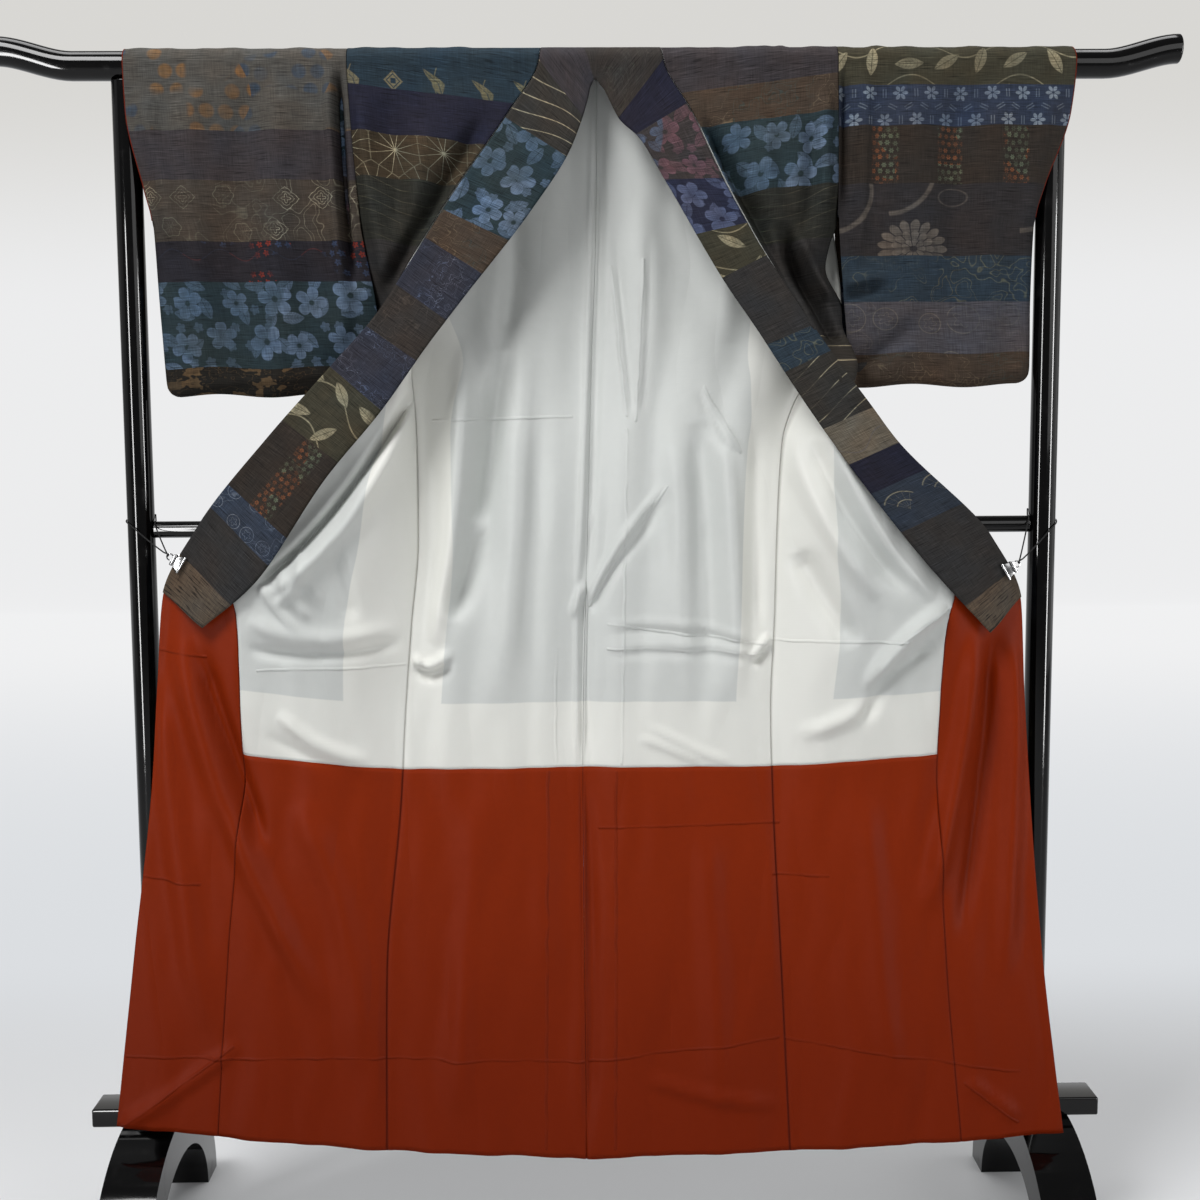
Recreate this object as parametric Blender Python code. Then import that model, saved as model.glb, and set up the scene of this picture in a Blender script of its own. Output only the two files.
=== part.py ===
"""Lined silk kimono hung open on a lacquered stand.

Metres, +Z up, the front of the kimono faces -Y. Each cut piece of cloth is one
closed wall, 0.3 mm or more from its neighbours, and each member of the stand is
one solid. Cloth is laid out in x and h, where h is the distance along the cloth
from the top of the rail: h > 0 runs down the front, h < 0 down the back.
"""
import math

import bmesh
import bpy
from mathutils import Vector

for old in list(bpy.data.objects):
    bpy.data.objects.remove(old, do_unlink=True)

# ---- stand ----
RAIL_Z = 1.680
RAIL_R = 0.020
RAIL_HALF = 0.815
RAIL_RISE = 0.020
RAIL_BEND = 0.105
POST_X = 0.6395
POST_R = 0.019
MID_Z = 1.0432
MID_R = 0.0118
BEAM_HALF = 0.735
BEAM_TOP = 0.2020
BEAM_H = 0.0270
BEAM_D = 0.058
FOOT_X = 0.652
FOOT_W = 0.078
FOOT_REACH = 0.215
FOOT_BAND = 0.058
FIT = 0.0003

# ---- cloth ----
OUTER = 0.0012
LINING = 0.0010
SEAM = 0.0002
WALL_GAP = 0.00015
SLEEVE_WALL = 0.0020
COLLAR_WALL = 0.0024
WRAP_R = RAIL_R + 0.0006 + LINING + WALL_GAP
QUARTER = WRAP_R * math.pi / 2

MATERIALS = {
    "lacquer": (0.012, 0.011, 0.012, 0.15, 0.0),
    "silk_outer": (0.10, 0.11, 0.13, 0.75, 0.0),
    "silk_white": (0.80, 0.80, 0.76, 0.45, 0.0),
    "silk_red": (0.50, 0.08, 0.03, 0.55, 0.0),
    "chrome": (0.75, 0.76, 0.78, 0.20, 1.0),
    "cord": (0.02, 0.02, 0.02, 0.80, 0.0),
}


def material(name):
    found = bpy.data.materials.get(name)
    if found:
        return found
    r, g, b, rough, metal = MATERIALS[name]
    found = bpy.data.materials.new(name)
    found.use_nodes = True
    shader = found.node_tree.nodes["Principled BSDF"]
    shader.inputs["Base Color"].default_value = (r, g, b, 1.0)
    shader.inputs["Roughness"].default_value = rough
    shader.inputs["Metallic"].default_value = metal
    return found


def make(name, points, faces, surface):
    mesh = bpy.data.meshes.new(name)
    mesh.from_pydata([tuple(p) for p in points], [], faces)
    work = bmesh.new()
    work.from_mesh(mesh)
    bmesh.ops.recalc_face_normals(work, faces=work.faces)
    work.to_mesh(mesh)
    work.free()
    mesh.materials.append(material(surface))
    node = bpy.data.objects.new(name, mesh)
    bpy.context.collection.objects.link(node)
    return node


# ---- curves and walls ----
def at(table, t):
    """Value of every column of a table at t, smooth through the rows."""
    rows = list(table)
    last = len(rows) - 1
    k = 0
    while k < last - 1 and rows[k + 1][0] <= t:
        k += 1
    t0, t1 = rows[k][0], rows[k + 1][0]
    f = min(1.0, max(0.0, (t - t0) / (t1 - t0)))
    out = []
    for c in range(1, len(rows[0])):
        d = (rows[k + 1][c] - rows[k][c]) / (t1 - t0)
        m0 = slope(rows, k, c, d)
        m1 = slope(rows, k + 1, c, d)
        h = t1 - t0
        out.append(
            rows[k][c] * (1 + 2 * f) * (1 - f) ** 2
            + m0 * h * f * (1 - f) ** 2
            + rows[k + 1][c] * f * f * (3 - 2 * f)
            + m1 * h * f * f * (f - 1)
        )
    return out


def slope(rows, k, c, end_slope):
    """Slope of column c at row k, flat where the column turns."""
    if k == 0 or k == len(rows) - 1:
        return end_slope
    a = (rows[k][c] - rows[k - 1][c]) / (rows[k][0] - rows[k - 1][0])
    b = (rows[k + 1][c] - rows[k][c]) / (rows[k + 1][0] - rows[k][0])
    if a * b <= 0:
        return 0.0
    return 2 * a * b / (a + b)


def wrap(x, h, y=0.0, radius=WRAP_R):
    """Point on a sheet laid over the rail; y is its distance off the fall."""
    quarter = radius * math.pi / 2
    side = -1.0 if h > 0 else 1.0
    if abs(h) < quarter:
        a = abs(h) / radius
        return Vector((x, side * radius * math.sin(a) + y, RAIL_Z + radius * math.cos(a)))
    return Vector((x, side * radius + y, RAIL_Z - (abs(h) - quarter)))


def grid_normals(grid):
    rows, cols = len(grid), len(grid[0])
    out = []
    for i in range(rows):
        line = []
        for j in range(cols):
            along = grid[min(i + 1, rows - 1)][j] - grid[max(i - 1, 0)][j]
            across = grid[i][min(j + 1, cols - 1)] - grid[i][max(j - 1, 0)]
            line.append(across.cross(along).normalized())
        out.append(line)
    return out


def wall(name, grid, low, high, surface, side=1.0):
    """Closed wall between two offsets of a grid of points."""
    rows, cols = len(grid), len(grid[0])
    normals = grid_normals(grid)
    points = []
    for offset in (low, high):
        for i in range(rows):
            for j in range(cols):
                points.append(grid[i][j] + normals[i][j] * offset * side)
    layer = rows * cols
    faces = []
    for i in range(rows - 1):
        for j in range(cols - 1):
            a = i * cols + j
            c = a + cols
            if (grid[i][j] - grid[i + 1][j + 1]).length <= (grid[i][j + 1] - grid[i + 1][j]).length:
                split = [(a, a + 1, c + 1), (a, c + 1, c)]
            else:
                split = [(a, a + 1, c), (a + 1, c + 1, c)]
            for p, q, r in split:
                faces.append((p, q, r))
                faces.append((p + layer, r + layer, q + layer))
    rim = [(0, j) for j in range(cols)]
    rim += [(i, cols - 1) for i in range(1, rows)]
    rim += [(rows - 1, j) for j in range(cols - 2, -1, -1)]
    rim += [(i, 0) for i in range(rows - 2, 0, -1)]
    for k in range(len(rim)):
        i0, j0 = rim[k]
        i1, j1 = rim[(k + 1) % len(rim)]
        a = i0 * cols + j0
        b = i1 * cols + j1
        faces.append((b, a, a + layer, b + layer))
    return make(name, points, faces, surface)


# ---- shape of the hanging cloth ----
# Front: t, side x y h, front edge x y h, swell near the side x y, near the edge x y
FRONT = {
    "left": [
        (0.000, -0.3330, 0.0000, 0.000, -0.0680, 0.0000, 0.000, 0.000, 0.000, 0.000, 0.000),
        (0.034, -0.3325, 0.0000, 0.034, -0.0720, 0.0000, 0.034, 0.000, 0.000, 0.000, 0.000),
        (0.100, -0.3290, -0.0020, 0.102, -0.1120, -0.0140, 0.102, 0.000, -0.006, 0.000, -0.004),
        (0.200, -0.3220, 0.0010, 0.202, -0.1820, -0.0300, 0.202, 0.006, -0.024, 0.008, -0.010),
        (0.300, -0.3130, 0.0100, 0.302, -0.2480, -0.0440, 0.306, 0.016, -0.024, 0.010, 0.002),
        (0.370, -0.2960, 0.0160, 0.372, -0.2920, -0.0540, 0.376, 0.044, -0.020, 0.052, 0.006),
        (0.450, -0.2620, 0.0140, 0.452, -0.3550, -0.0580, 0.447, 0.045, -0.060, 0.080, -0.004),
        (0.550, -0.2480, 0.0080, 0.554, -0.4400, -0.0560, 0.539, 0.020, -0.095, 0.080, -0.006),
        (0.680, -0.2470, 0.0000, 0.684, -0.5450, -0.0420, 0.664, -0.010, -0.110, 0.040, -0.016),
        (0.800, -0.2580, -0.0050, 0.809, -0.6000, -0.0300, 0.764, -0.030, -0.090, 0.000, -0.040),
        (0.920, -0.2680, -0.0080, 0.929, -0.6110, -0.0300, 0.884, -0.020, -0.050, 0.000, -0.036),
        (1.050, -0.2765, -0.0120, 1.059, -0.6220, -0.0310, 1.014, 0.000, -0.022, 0.000, -0.018),
        (1.300, -0.3010, -0.0180, 1.309, -0.6550, -0.0360, 1.264, 0.000, -0.014, 0.000, -0.010),
        (1.565, -0.3058, -0.0240, 1.571, -0.6880, -0.0440, 1.520, 0.000, -0.010, 0.000, -0.006),
    ],
    "right": [
        (0.000, 0.3380, 0.0000, 0.000, 0.0950, 0.0000, 0.000, 0.000, 0.000, 0.000, 0.000),
        (0.034, 0.3385, 0.0000, 0.034, 0.1000, 0.0000, 0.034, 0.000, 0.000, 0.000, 0.000),
        (0.100, 0.3390, -0.0020, 0.102, 0.1370, -0.0140, 0.102, 0.000, -0.006, 0.000, -0.004),
        (0.200, 0.3400, 0.0010, 0.202, 0.1840, -0.0300, 0.202, -0.006, -0.024, -0.008, -0.010),
        (0.300, 0.3410, 0.0100, 0.302, 0.2400, -0.0440, 0.306, -0.010, -0.024, -0.010, 0.000),
        (0.370, 0.3380, 0.0160, 0.372, 0.2850, -0.0540, 0.376, -0.040, -0.020, -0.046, 0.006),
        (0.450, 0.3080, 0.0140, 0.452, 0.3350, -0.0580, 0.447, -0.045, -0.060, -0.070, -0.004),
        (0.550, 0.2710, 0.0080, 0.554, 0.4170, -0.0560, 0.554, -0.020, -0.095, -0.070, -0.006),
        (0.680, 0.2600, 0.0000, 0.684, 0.5500, -0.0420, 0.684, 0.010, -0.110, -0.040, -0.016),
        (0.800, 0.2550, -0.0050, 0.809, 0.5980, -0.0300, 0.779, 0.030, -0.090, 0.000, -0.040),
        (0.920, 0.2500, -0.0080, 0.929, 0.6045, -0.0300, 0.899, 0.020, -0.050, 0.000, -0.036),
        (1.050, 0.2535, -0.0120, 1.059, 0.6140, -0.0310, 1.024, 0.000, -0.022, 0.000, -0.018),
        (1.300, 0.2665, -0.0180, 1.309, 0.6340, -0.0500, 1.277, 0.000, -0.014, 0.000, -0.010),
        (1.565, 0.2800, -0.0240, 1.579, 0.6635, -0.0730, 1.535, 0.000, -0.010, 0.000, -0.006),
    ],
}
# Share of the front's width, from the side, that the body panel takes
OVERLAP_SEAM = [
    (0.000, 1.000),
    (0.380, 0.985),
    (0.480, 0.880),
    (0.600, 0.775),
    (0.700, 0.705),
    (0.800, 0.650),
    (1.050, 0.633),
    (1.565, 0.626),
]
# Back: t, armhole edge x y, centre seam y h, height of the three long folds
BACK = {
    "left": [
        (0.049, -0.3325, 0.0000, 0.0000, 0.049, 0.000, 0.000, 0.000),
        (0.160, -0.3250, -0.0020, 0.0010, 0.160, 0.002, 0.000, 0.003),
        (0.245, -0.3185, -0.0050, 0.0000, 0.245, 0.005, 0.004, 0.006),
        (0.300, -0.3130, -0.0130, -0.0020, 0.300, 0.007, 0.006, 0.008),
        (0.370, -0.2960, -0.0230, -0.0070, 0.372, 0.010, 0.008, 0.009),
        (0.450, -0.2620, -0.0250, -0.0140, 0.452, 0.013, 0.010, 0.009),
        (0.550, -0.2480, -0.0310, -0.0260, 0.554, 0.014, 0.012, 0.009),
        (0.680, -0.2470, -0.0390, -0.0400, 0.684, 0.014, 0.012, 0.008),
        (0.800, -0.2580, -0.0465, -0.0450, 0.809, 0.011, 0.010, 0.006),
        (0.920, -0.2680, -0.0505, -0.0470, 0.929, 0.008, 0.007, 0.004),
        (1.050, -0.2765, -0.0555, -0.0500, 1.059, 0.005, 0.005, 0.003),
        (1.300, -0.3010, -0.0615, -0.0570, 1.309, 0.003, 0.003, 0.002),
        (1.565, -0.3058, -0.0675, -0.0640, 1.589, 0.002, 0.002, 0.002),
    ],
    "right": [
        (0.049, 0.3385, 0.0000, 0.0000, 0.049, 0.000, 0.000, 0.000),
        (0.160, 0.3390, -0.0020, 0.0010, 0.160, 0.002, 0.000, 0.004),
        (0.245, 0.3395, -0.0050, 0.0000, 0.245, 0.006, 0.004, 0.007),
        (0.300, 0.3410, -0.0130, -0.0020, 0.300, 0.008, 0.006, 0.009),
        (0.370, 0.3380, -0.0230, -0.0070, 0.372, 0.010, 0.008, 0.010),
        (0.450, 0.3080, -0.0250, -0.0140, 0.452, 0.012, 0.010, 0.010),
        (0.550, 0.2710, -0.0310, -0.0260, 0.554, 0.012, 0.012, 0.010),
        (0.680, 0.2600, -0.0390, -0.0400, 0.684, 0.011, 0.012, 0.009),
        (0.800, 0.2550, -0.0465, -0.0450, 0.809, 0.009, 0.010, 0.007),
        (0.920, 0.2500, -0.0505, -0.0470, 0.929, 0.007, 0.007, 0.005),
        (1.050, 0.2535, -0.0555, -0.0500, 1.059, 0.005, 0.005, 0.004),
        (1.300, 0.2665, -0.0615, -0.0570, 1.309, 0.003, 0.003, 0.002),
        (1.565, 0.2800, -0.0675, -0.0640, 1.589, 0.002, 0.002, 0.002),
    ],
}
# Centre seam: t, x
CENTRE = [
    (0.000, 0.0088),
    (0.250, 0.0060),
    (0.450, -0.0020),
    (0.680, -0.0090),
    (0.920, -0.0165),
    (1.050, -0.0180),
    (1.565, -0.0162),
]
# Side seam: t, how far the back's edge lies behind the front's
SIDE_STEP = [(0.370, 0.0046), (0.680, 0.0042), (0.860, 0.0000), (1.565, 0.0000)]
# Share of the back's width from the side, and half width, of the long folds
BACK_FOLDS = [(0.25, 0.20), (0.53, 0.20), (0.80, 0.14)]
# Back neckline: h behind the rail's top, x on the left, x on the right
NECKLINE = [
    (0.000, -0.0680, 0.0950),
    (0.020, -0.0630, 0.0900),
    (0.036, -0.0480, 0.0740),
    (0.046, -0.0240, 0.0460),
    (0.049, 0.0086, 0.0090),
]
SKIRT_LINING = 1.003
HEM = 1.565
SIDE_SEAM = 0.370
SIDE = {"left": -1.0, "right": 1.0}


def front_point(side, t, u):
    """Point of the front at t below the shoulder, u of the way to its edge."""
    sx, sy, sh, fx, fy, fh, ax, ay, bx, by = at(FRONT[side], t)
    swell_a = 3 * u * (1 - u) ** 2
    swell_b = 3 * u * u * (1 - u)
    x = sx + (fx - sx) * u + swell_a * ax + swell_b * bx
    y = sy + (fy - sy) * u + swell_a * ay + swell_b * by
    h = sh + (fh - sh) * u
    if t < 1e-6:
        h = 0.0
    return wrap(x, h, y)


def back_point(side, t, u):
    """Point of the back at t below the shoulder, u of the way to the centre."""
    if t < NECKLINE[-1][0]:
        column = 1 if side == "left" else 2
        neck = at([(r[0], r[column]) for r in NECKLINE], t)[0]
        edge = at(FRONT[side], 0.0)[0]
        return wrap(edge + (neck - edge) * u, -t)
    sx, sy, cy, ch, f1, f2, f3 = at(BACK[side], t)
    sh = t
    if t >= SIDE_SEAM - 1e-6:
        sx, sy, sh = at(FRONT[side], t)[:3]
        sy += at(SIDE_STEP, t)[0] - 2 * WRAP_R
        sx -= SIDE[side] * 0.0006
    cx = at(CENTRE, t)[0] + SIDE[side] * 0.0003
    x = sx + (cx - sx) * u
    y = sy + (cy - sy) * u
    for height, (middle, spread) in zip((f1, f2, f3), BACK_FOLDS):
        d = abs(u - middle) / spread
        if d < 1:
            y -= height * math.cos(d * math.pi / 2) ** 2
    return wrap(x, -(sh + (ch - sh) * u), y)


def steps(start, stop, count):
    return [start + (stop - start) * i / count for i in range(count + 1)]


ARC_ROWS = steps(0.0, QUARTER, 6)
NECK_ROWS = [0.0, 0.0057, 0.0114, 0.0171, 0.0228, 0.0285, 0.0342, 0.040, 0.046, 0.049]
FALL_ROWS = [0.049, 0.10, 0.16, 0.205, 0.245, 0.30, 0.335, 0.37, 0.43, 0.50, 0.57, 0.64, 0.72, 0.80, 0.89]


def fall(start, stop):
    """Rows from start to stop that fall on the shared stations."""
    shared = ARC_ROWS + FALL_ROWS + [SKIRT_LINING, 1.12, 1.26, 1.41, HEM]
    inner = [r for r in shared if start + 0.004 < r < stop - 0.004]
    return [start] + inner + [stop]


def body_grid(side, front_stop, back_stop, cols):
    """One panel over the shoulder: front rows upward, then back rows downward."""
    grid = []
    for t in reversed(fall(0.0, front_stop)[1:]):
        seam = at(OVERLAP_SEAM, t)[0]
        width = abs(at(FRONT[side], t)[3] - at(FRONT[side], t)[0]) + 0.05
        edge = seam - (SEAM / width if seam < 0.99 else 0.0)
        grid.append([front_point(side, t, edge * j / cols) for j in range(cols + 1)])
    back_rows = NECK_ROWS[:-1] + fall(0.049, back_stop)
    for t in back_rows:
        grid.append([back_point(side, t, j / cols) for j in range(cols + 1)])
    return grid


def front_grid(side, start, stop, u0, u1, cols):
    """A strip of the front between two shares of its width."""
    grid = []
    for t in reversed(fall(start, stop)):
        seam = at(OVERLAP_SEAM, t)[0]
        lo = seam if u0 is None else u0
        hi = seam if u1 is None else u1
        width = abs(at(FRONT[side], t)[3] - at(FRONT[side], t)[0]) + 0.05
        if u0 is None:
            lo += SEAM / width
        if u1 is None:
            hi -= SEAM / width
        grid.append([front_point(side, t, lo + (hi - lo) * j / cols) for j in range(cols + 1)])
    return grid


def back_grid(side, start, stop, cols):
    rows = fall(start, stop)
    return [[back_point(side, t, j / cols) for j in range(cols + 1)] for t in rows]


LOW = WALL_GAP
HIGH = WALL_GAP + OUTER
LINE_LOW = -WALL_GAP - LINING
LINE_HIGH = -WALL_GAP
OVERLAP_TOP = 0.43
COLS = 10

for name, sign in SIDE.items():
    turn = -sign
    wall("body_" + name, body_grid(name, HEM, HEM, COLS), LOW, HIGH, "silk_outer", turn)
    wall("overlap_" + name, front_grid(name, OVERLAP_TOP, HEM, None, 1.0, 4), LOW, HIGH,
         "silk_outer", turn)
    wall("lining_white_" + name, body_grid(name, SKIRT_LINING - SEAM, SKIRT_LINING - SEAM, COLS),
         LINE_LOW, LINE_HIGH, "silk_white", turn)
    wall("lining_front_red_" + name,
         front_grid(name, SKIRT_LINING + SEAM, HEM, 0.0, None, COLS), LINE_LOW, LINE_HIGH,
         "silk_red", turn)
    wall("lining_overlap_red_" + name, front_grid(name, OVERLAP_TOP, HEM, None, 1.0, 4),
         LINE_LOW, LINE_HIGH, "silk_red", turn)
    wall("lining_back_red_" + name, back_grid(name, SKIRT_LINING + SEAM, HEM, COLS),
         LINE_LOW, LINE_HIGH, "silk_red", turn)

# ---- collar ----
# t of the sewn edge, free edge x y h, then how far the sewn edge clears the panel
# across and forward; t < 0 is the back neckline
COLLAR = {
    "left": [
        (-0.049, 0.0055, 0.000, 0.0580, 0.0006, 0.0000),
        (-0.046, 0.0040, 0.000, 0.0600, 0.0006, 0.0000),
        (-0.036, 0.0020, 0.000, 0.0640, 0.0006, 0.0000),
        (-0.020, -0.0010, -0.002, 0.0700, 0.0007, 0.0000),
        (0.000, -0.0040, -0.006, 0.0840, 0.0008, 0.0000),
        (0.034, -0.0120, -0.014, 0.1120, 0.0010, 0.0000),
        (0.100, -0.0300, -0.024, 0.1580, 0.0018, -0.0008),
        (0.200, -0.0850, -0.038, 0.2420, 0.0030, -0.0022),
        (0.300, -0.1760, -0.056, 0.3580, 0.0020, -0.0036),
        (0.370, -0.2240, -0.068, 0.4210, 0.0005, -0.0040),
        (0.450, -0.2850, -0.078, 0.5060, 0.0000, -0.0042),
        (0.550, -0.3620, -0.080, 0.5970, 0.0000, -0.0042),
        (0.680, -0.4650, -0.078, 0.7420, 0.0000, -0.0042),
        (0.790, -0.5380, -0.066, 0.8015, 0.0000, -0.0042),
    ],
    "right": [
        (-0.049, 0.0055, 0.000, 0.0580, 0.0006, 0.0000),
        (-0.046, 0.0080, 0.000, 0.0600, 0.0006, 0.0000),
        (-0.036, 0.0110, 0.000, 0.0640, 0.0006, 0.0000),
        (-0.020, 0.0160, -0.002, 0.0700, 0.0007, 0.0000),
        (0.000, 0.0240, -0.006, 0.0860, 0.0008, 0.0000),
        (0.034, 0.0380, -0.014, 0.1140, 0.0010, 0.0000),
        (0.100, 0.0640, -0.024, 0.1400, 0.0018, -0.0008),
        (0.200, 0.1020, -0.038, 0.2040, 0.0030, -0.0022),
        (0.300, 0.1780, -0.056, 0.3360, 0.0020, -0.0036),
        (0.370, 0.2220, -0.068, 0.4020, 0.0005, -0.0040),
        (0.450, 0.2700, -0.078, 0.4770, 0.0000, -0.0042),
        (0.550, 0.3450, -0.080, 0.5830, 0.0000, -0.0042),
        (0.680, 0.4600, -0.078, 0.7260, 0.0000, -0.0042),
        (0.790, 0.5460, -0.066, 0.8165, 0.0000, -0.0042),
    ],
}
COLLAR_R = WRAP_R + 0.0005


def sewn_edge(side, t):
    """x, h and y of the seam between collar and panel at t."""
    if t < 0:
        column = 1 if side == "left" else 2
        x = at([(r[0], r[column]) for r in NECKLINE], -t)[0]
        return x, t, 0.0
    fx, fy, fh = at(FRONT[side], t)[3:6]
    return fx, fh if t > 1e-6 else 0.0, fy


def collar_grid(cols):
    down = ARC_ROWS[1:] + [r for r in FALL_ROWS if r < 0.78] + [0.79]
    stations = [-0.049, -0.046, -0.040, -0.0342, -0.0257, -0.0171, -0.0086, 0.0] + down
    order = [("left", s) for s in reversed(stations)]
    order += [("right", s) for s in stations[1:]]
    grid = []
    for side, t in order:
        ex, eh, ey = sewn_edge(side, t)
        gx, gy, gh, across, ahead = at(COLLAR[side], t)
        ex -= SIDE[side] * across if t > -0.0485 else 0.0
        ey += ahead
        eh += 0.0006 * min(1.0, max(0.0, -t / 0.049))
        line = []
        for j in range(cols + 1):
            v = j / cols
            ease = v * v * (3 - 2 * v)
            line.append(wrap(ex + (gx - ex) * v, eh + (gh - eh) * v, ey + (gy - ey) * ease, COLLAR_R))
        grid.append(line)
    return grid


wall("collar", collar_grid(13), -COLLAR_WALL / 2, COLLAR_WALL / 2, "silk_outer")

# ---- sleeves ----
SLEEVE_R = RAIL_R + 0.0006 + SLEEVE_WALL / 2
SLEEVE_DROP = {"left": 0.483, "right": 0.474}
SLEEVE_ROWS = [0.049, 0.10, 0.16, 0.205, 0.245, 0.257, 0.32, 0.39, 0.445, 0.466]
CUFF_DROP = 0.245
# h, inner edge x below the armhole, outer edge x, half depth
SLEEVE = {
    "left": [
        (0.000, -0.3330, -0.6370, 0.0216),
        (0.034, -0.3325, -0.6365, 0.0216),
        (0.100, -0.3290, -0.6345, 0.0225),
        (0.205, -0.3216, -0.6125, 0.0225),
        (0.245, -0.3185, -0.6035, 0.0220),
        (0.360, -0.2990, -0.5985, 0.0180),
        (0.450, -0.2910, -0.5940, 0.0115),
        (0.483, -0.2910, -0.5850, 0.0060),
    ],
    "right": [
        (0.000, 0.3380, 0.6630, 0.0216),
        (0.034, 0.3385, 0.6660, 0.0216),
        (0.100, 0.3390, 0.6600, 0.0225),
        (0.205, 0.3400, 0.6250, 0.0225),
        (0.245, 0.3410, 0.6140, 0.0220),
        (0.360, 0.3500, 0.6115, 0.0180),
        (0.450, 0.3590, 0.6130, 0.0115),
        (0.474, 0.3600, 0.6060, 0.0060),
    ],
}


def sleeve_point(side, h, u, front):
    inner, outer, depth = at(SLEEVE[side], abs(h))
    if front and abs(h) <= CUFF_DROP:
        inner = at(FRONT[side], abs(h))[0]
    elif 0.049 <= abs(h) <= CUFF_DROP:
        inner = at(BACK[side], abs(h))[0]
    inner += SIDE[side] * 0.0017
    x = inner + (outer - inner) * u
    quarter = SLEEVE_R * math.pi / 2
    sign = -1.0 if front else 1.0
    if abs(h) <= quarter:
        a = abs(h) / SLEEVE_R
        return Vector((x, sign * SLEEVE_R * math.sin(a), RAIL_Z + SLEEVE_R * math.cos(a)))
    swell = 0.006 * math.sin(math.pi * u) * math.sin(math.pi * min(1.0, abs(h) / 0.48))
    return Vector((x, sign * (depth + swell), RAIL_Z - (abs(h) - quarter)))


def sleeve(side):
    quarter = SLEEVE_R * math.pi / 2
    rows = steps(0.0, quarter, 6) + SLEEVE_ROWS
    drop = SLEEVE_DROP[side]
    stations = [0.0, 0.25, 0.50, 0.75, 0.93, 1.0]
    loop = [(h, True) for h in reversed(rows)] + [(h, False) for h in rows[1:]]
    points = []
    for u in stations:
        for h, front in loop:
            points.append(sleeve_point(side, h, u, front))
        low = sleeve_point(side, drop, u, True)
        points.append(Vector((low.x, 0.0, low.z + 0.001)))
    ring = len(loop) + 1
    faces = []
    for i in range(len(stations) - 1):
        for j in range(ring):
            a = i * ring + j
            b = i * ring + (j + 1) % ring
            faces.append((a, b, b + ring, a + ring))
    last = (len(stations) - 1) * ring
    closed = [k for k, (h, front) in enumerate(loop) if front and h > CUFF_DROP + 1e-6]
    mids = []
    for k in closed:
        p = points[last + k]
        mids.append(len(points))
        points.append(Vector((p.x + SIDE[side] * 0.003, 0.0, p.z)))
    for n in range(len(closed) - 1):
        k0, k1 = closed[n], closed[n + 1]
        m0, m1 = len(loop) - 1 - k0, len(loop) - 1 - k1
        faces.append((last + k0, last + k1, mids[n + 1], mids[n]))
        faces.append((mids[n], mids[n + 1], last + m1, last + m0))
    bottom = last + ring - 1
    faces.append((last + closed[0], mids[0], bottom))
    faces.append((mids[0], last + len(loop) - 1 - closed[0], bottom))
    node = make("sleeve_" + side, points, faces, "silk_outer")
    thick = node.modifiers.new("wall", "SOLIDIFY")
    thick.thickness = SLEEVE_WALL
    thick.offset = 0.0
    thick.use_even_offset = True
    return node


def cuff_edge(side):
    """Rolled edge of red lining around the sleeve's opening."""
    quarter = SLEEVE_R * math.pi / 2
    rows = steps(0.0, quarter, 6) + [r for r in SLEEVE_ROWS if r <= CUFF_DROP]
    loop = [(h, True) for h in reversed(rows)] + [(h, False) for h in rows[1:]]
    points = []
    faces = []
    for h, front in loop:
        p = sleeve_point(side, h, 1.0, front)
        q = Vector((0.0, p.y, p.z - RAIL_Z)) if abs(h) <= quarter else Vector((0.0, p.y, 0.0))
        n = q.normalized()
        for dx, dn in ((0.0004, -0.0009), (0.0004, 0.0009), (0.0024, 0.0009), (0.0024, -0.0009)):
            points.append(p + Vector((SIDE[side] * dx, 0, 0)) + n * dn)
    count = len(loop)
    for i in range(count - 1):
        for k in range(4):
            a = i * 4 + k
            b = i * 4 + (k + 1) % 4
            faces.append((a, b, b + 4, a + 4))
    faces.append((3, 2, 1, 0))
    end = (count - 1) * 4
    faces.append((end, end + 1, end + 2, end + 3))
    return make("cuff_edge_" + side, points, faces, "silk_red")


for name in SIDE:
    sleeve(name)
    cuff_edge(name)


# ---- stand ----
def tube(name, path, radius, sides, surface, up=Vector((0.0, 1.0, 0.0))):
    """Closed round bar along a path of points."""
    points = []
    faces = []
    last = len(path) - 1
    for i, p in enumerate(path):
        ahead = (path[min(i + 1, last)] - path[max(i - 1, 0)]).normalized()
        side = ahead.cross(up)
        if side.length < 1e-4:
            side = ahead.cross(Vector((1.0, 0.0, 0.0)))
        side.normalize()
        top = side.cross(ahead).normalized()
        for k in range(sides):
            a = 2 * math.pi * k / sides
            points.append(p + side * math.cos(a) * radius + top * math.sin(a) * radius)
    for i in range(last):
        for k in range(sides):
            a = i * sides + k
            b = i * sides + (k + 1) % sides
            faces.append((a, b, b + sides, a + sides))
    faces.append(tuple(range(sides - 1, -1, -1)))
    faces.append(tuple(last * sides + k for k in range(sides)))
    return make(name, points, faces, surface)


def rail_path():
    """Straight over the posts, with both ends swept up."""
    xs = steps(RAIL_HALF - RAIL_BEND, RAIL_HALF, 4)
    right = []
    for x in xs:
        f = (x - xs[0]) / RAIL_BEND
        right.append(Vector((x, 0.0, RAIL_Z + RAIL_RISE * f * f * (3 - 2 * f))))
    left = [Vector((-p.x, p.y, p.z)) for p in reversed(right)]
    return left + right


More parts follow.
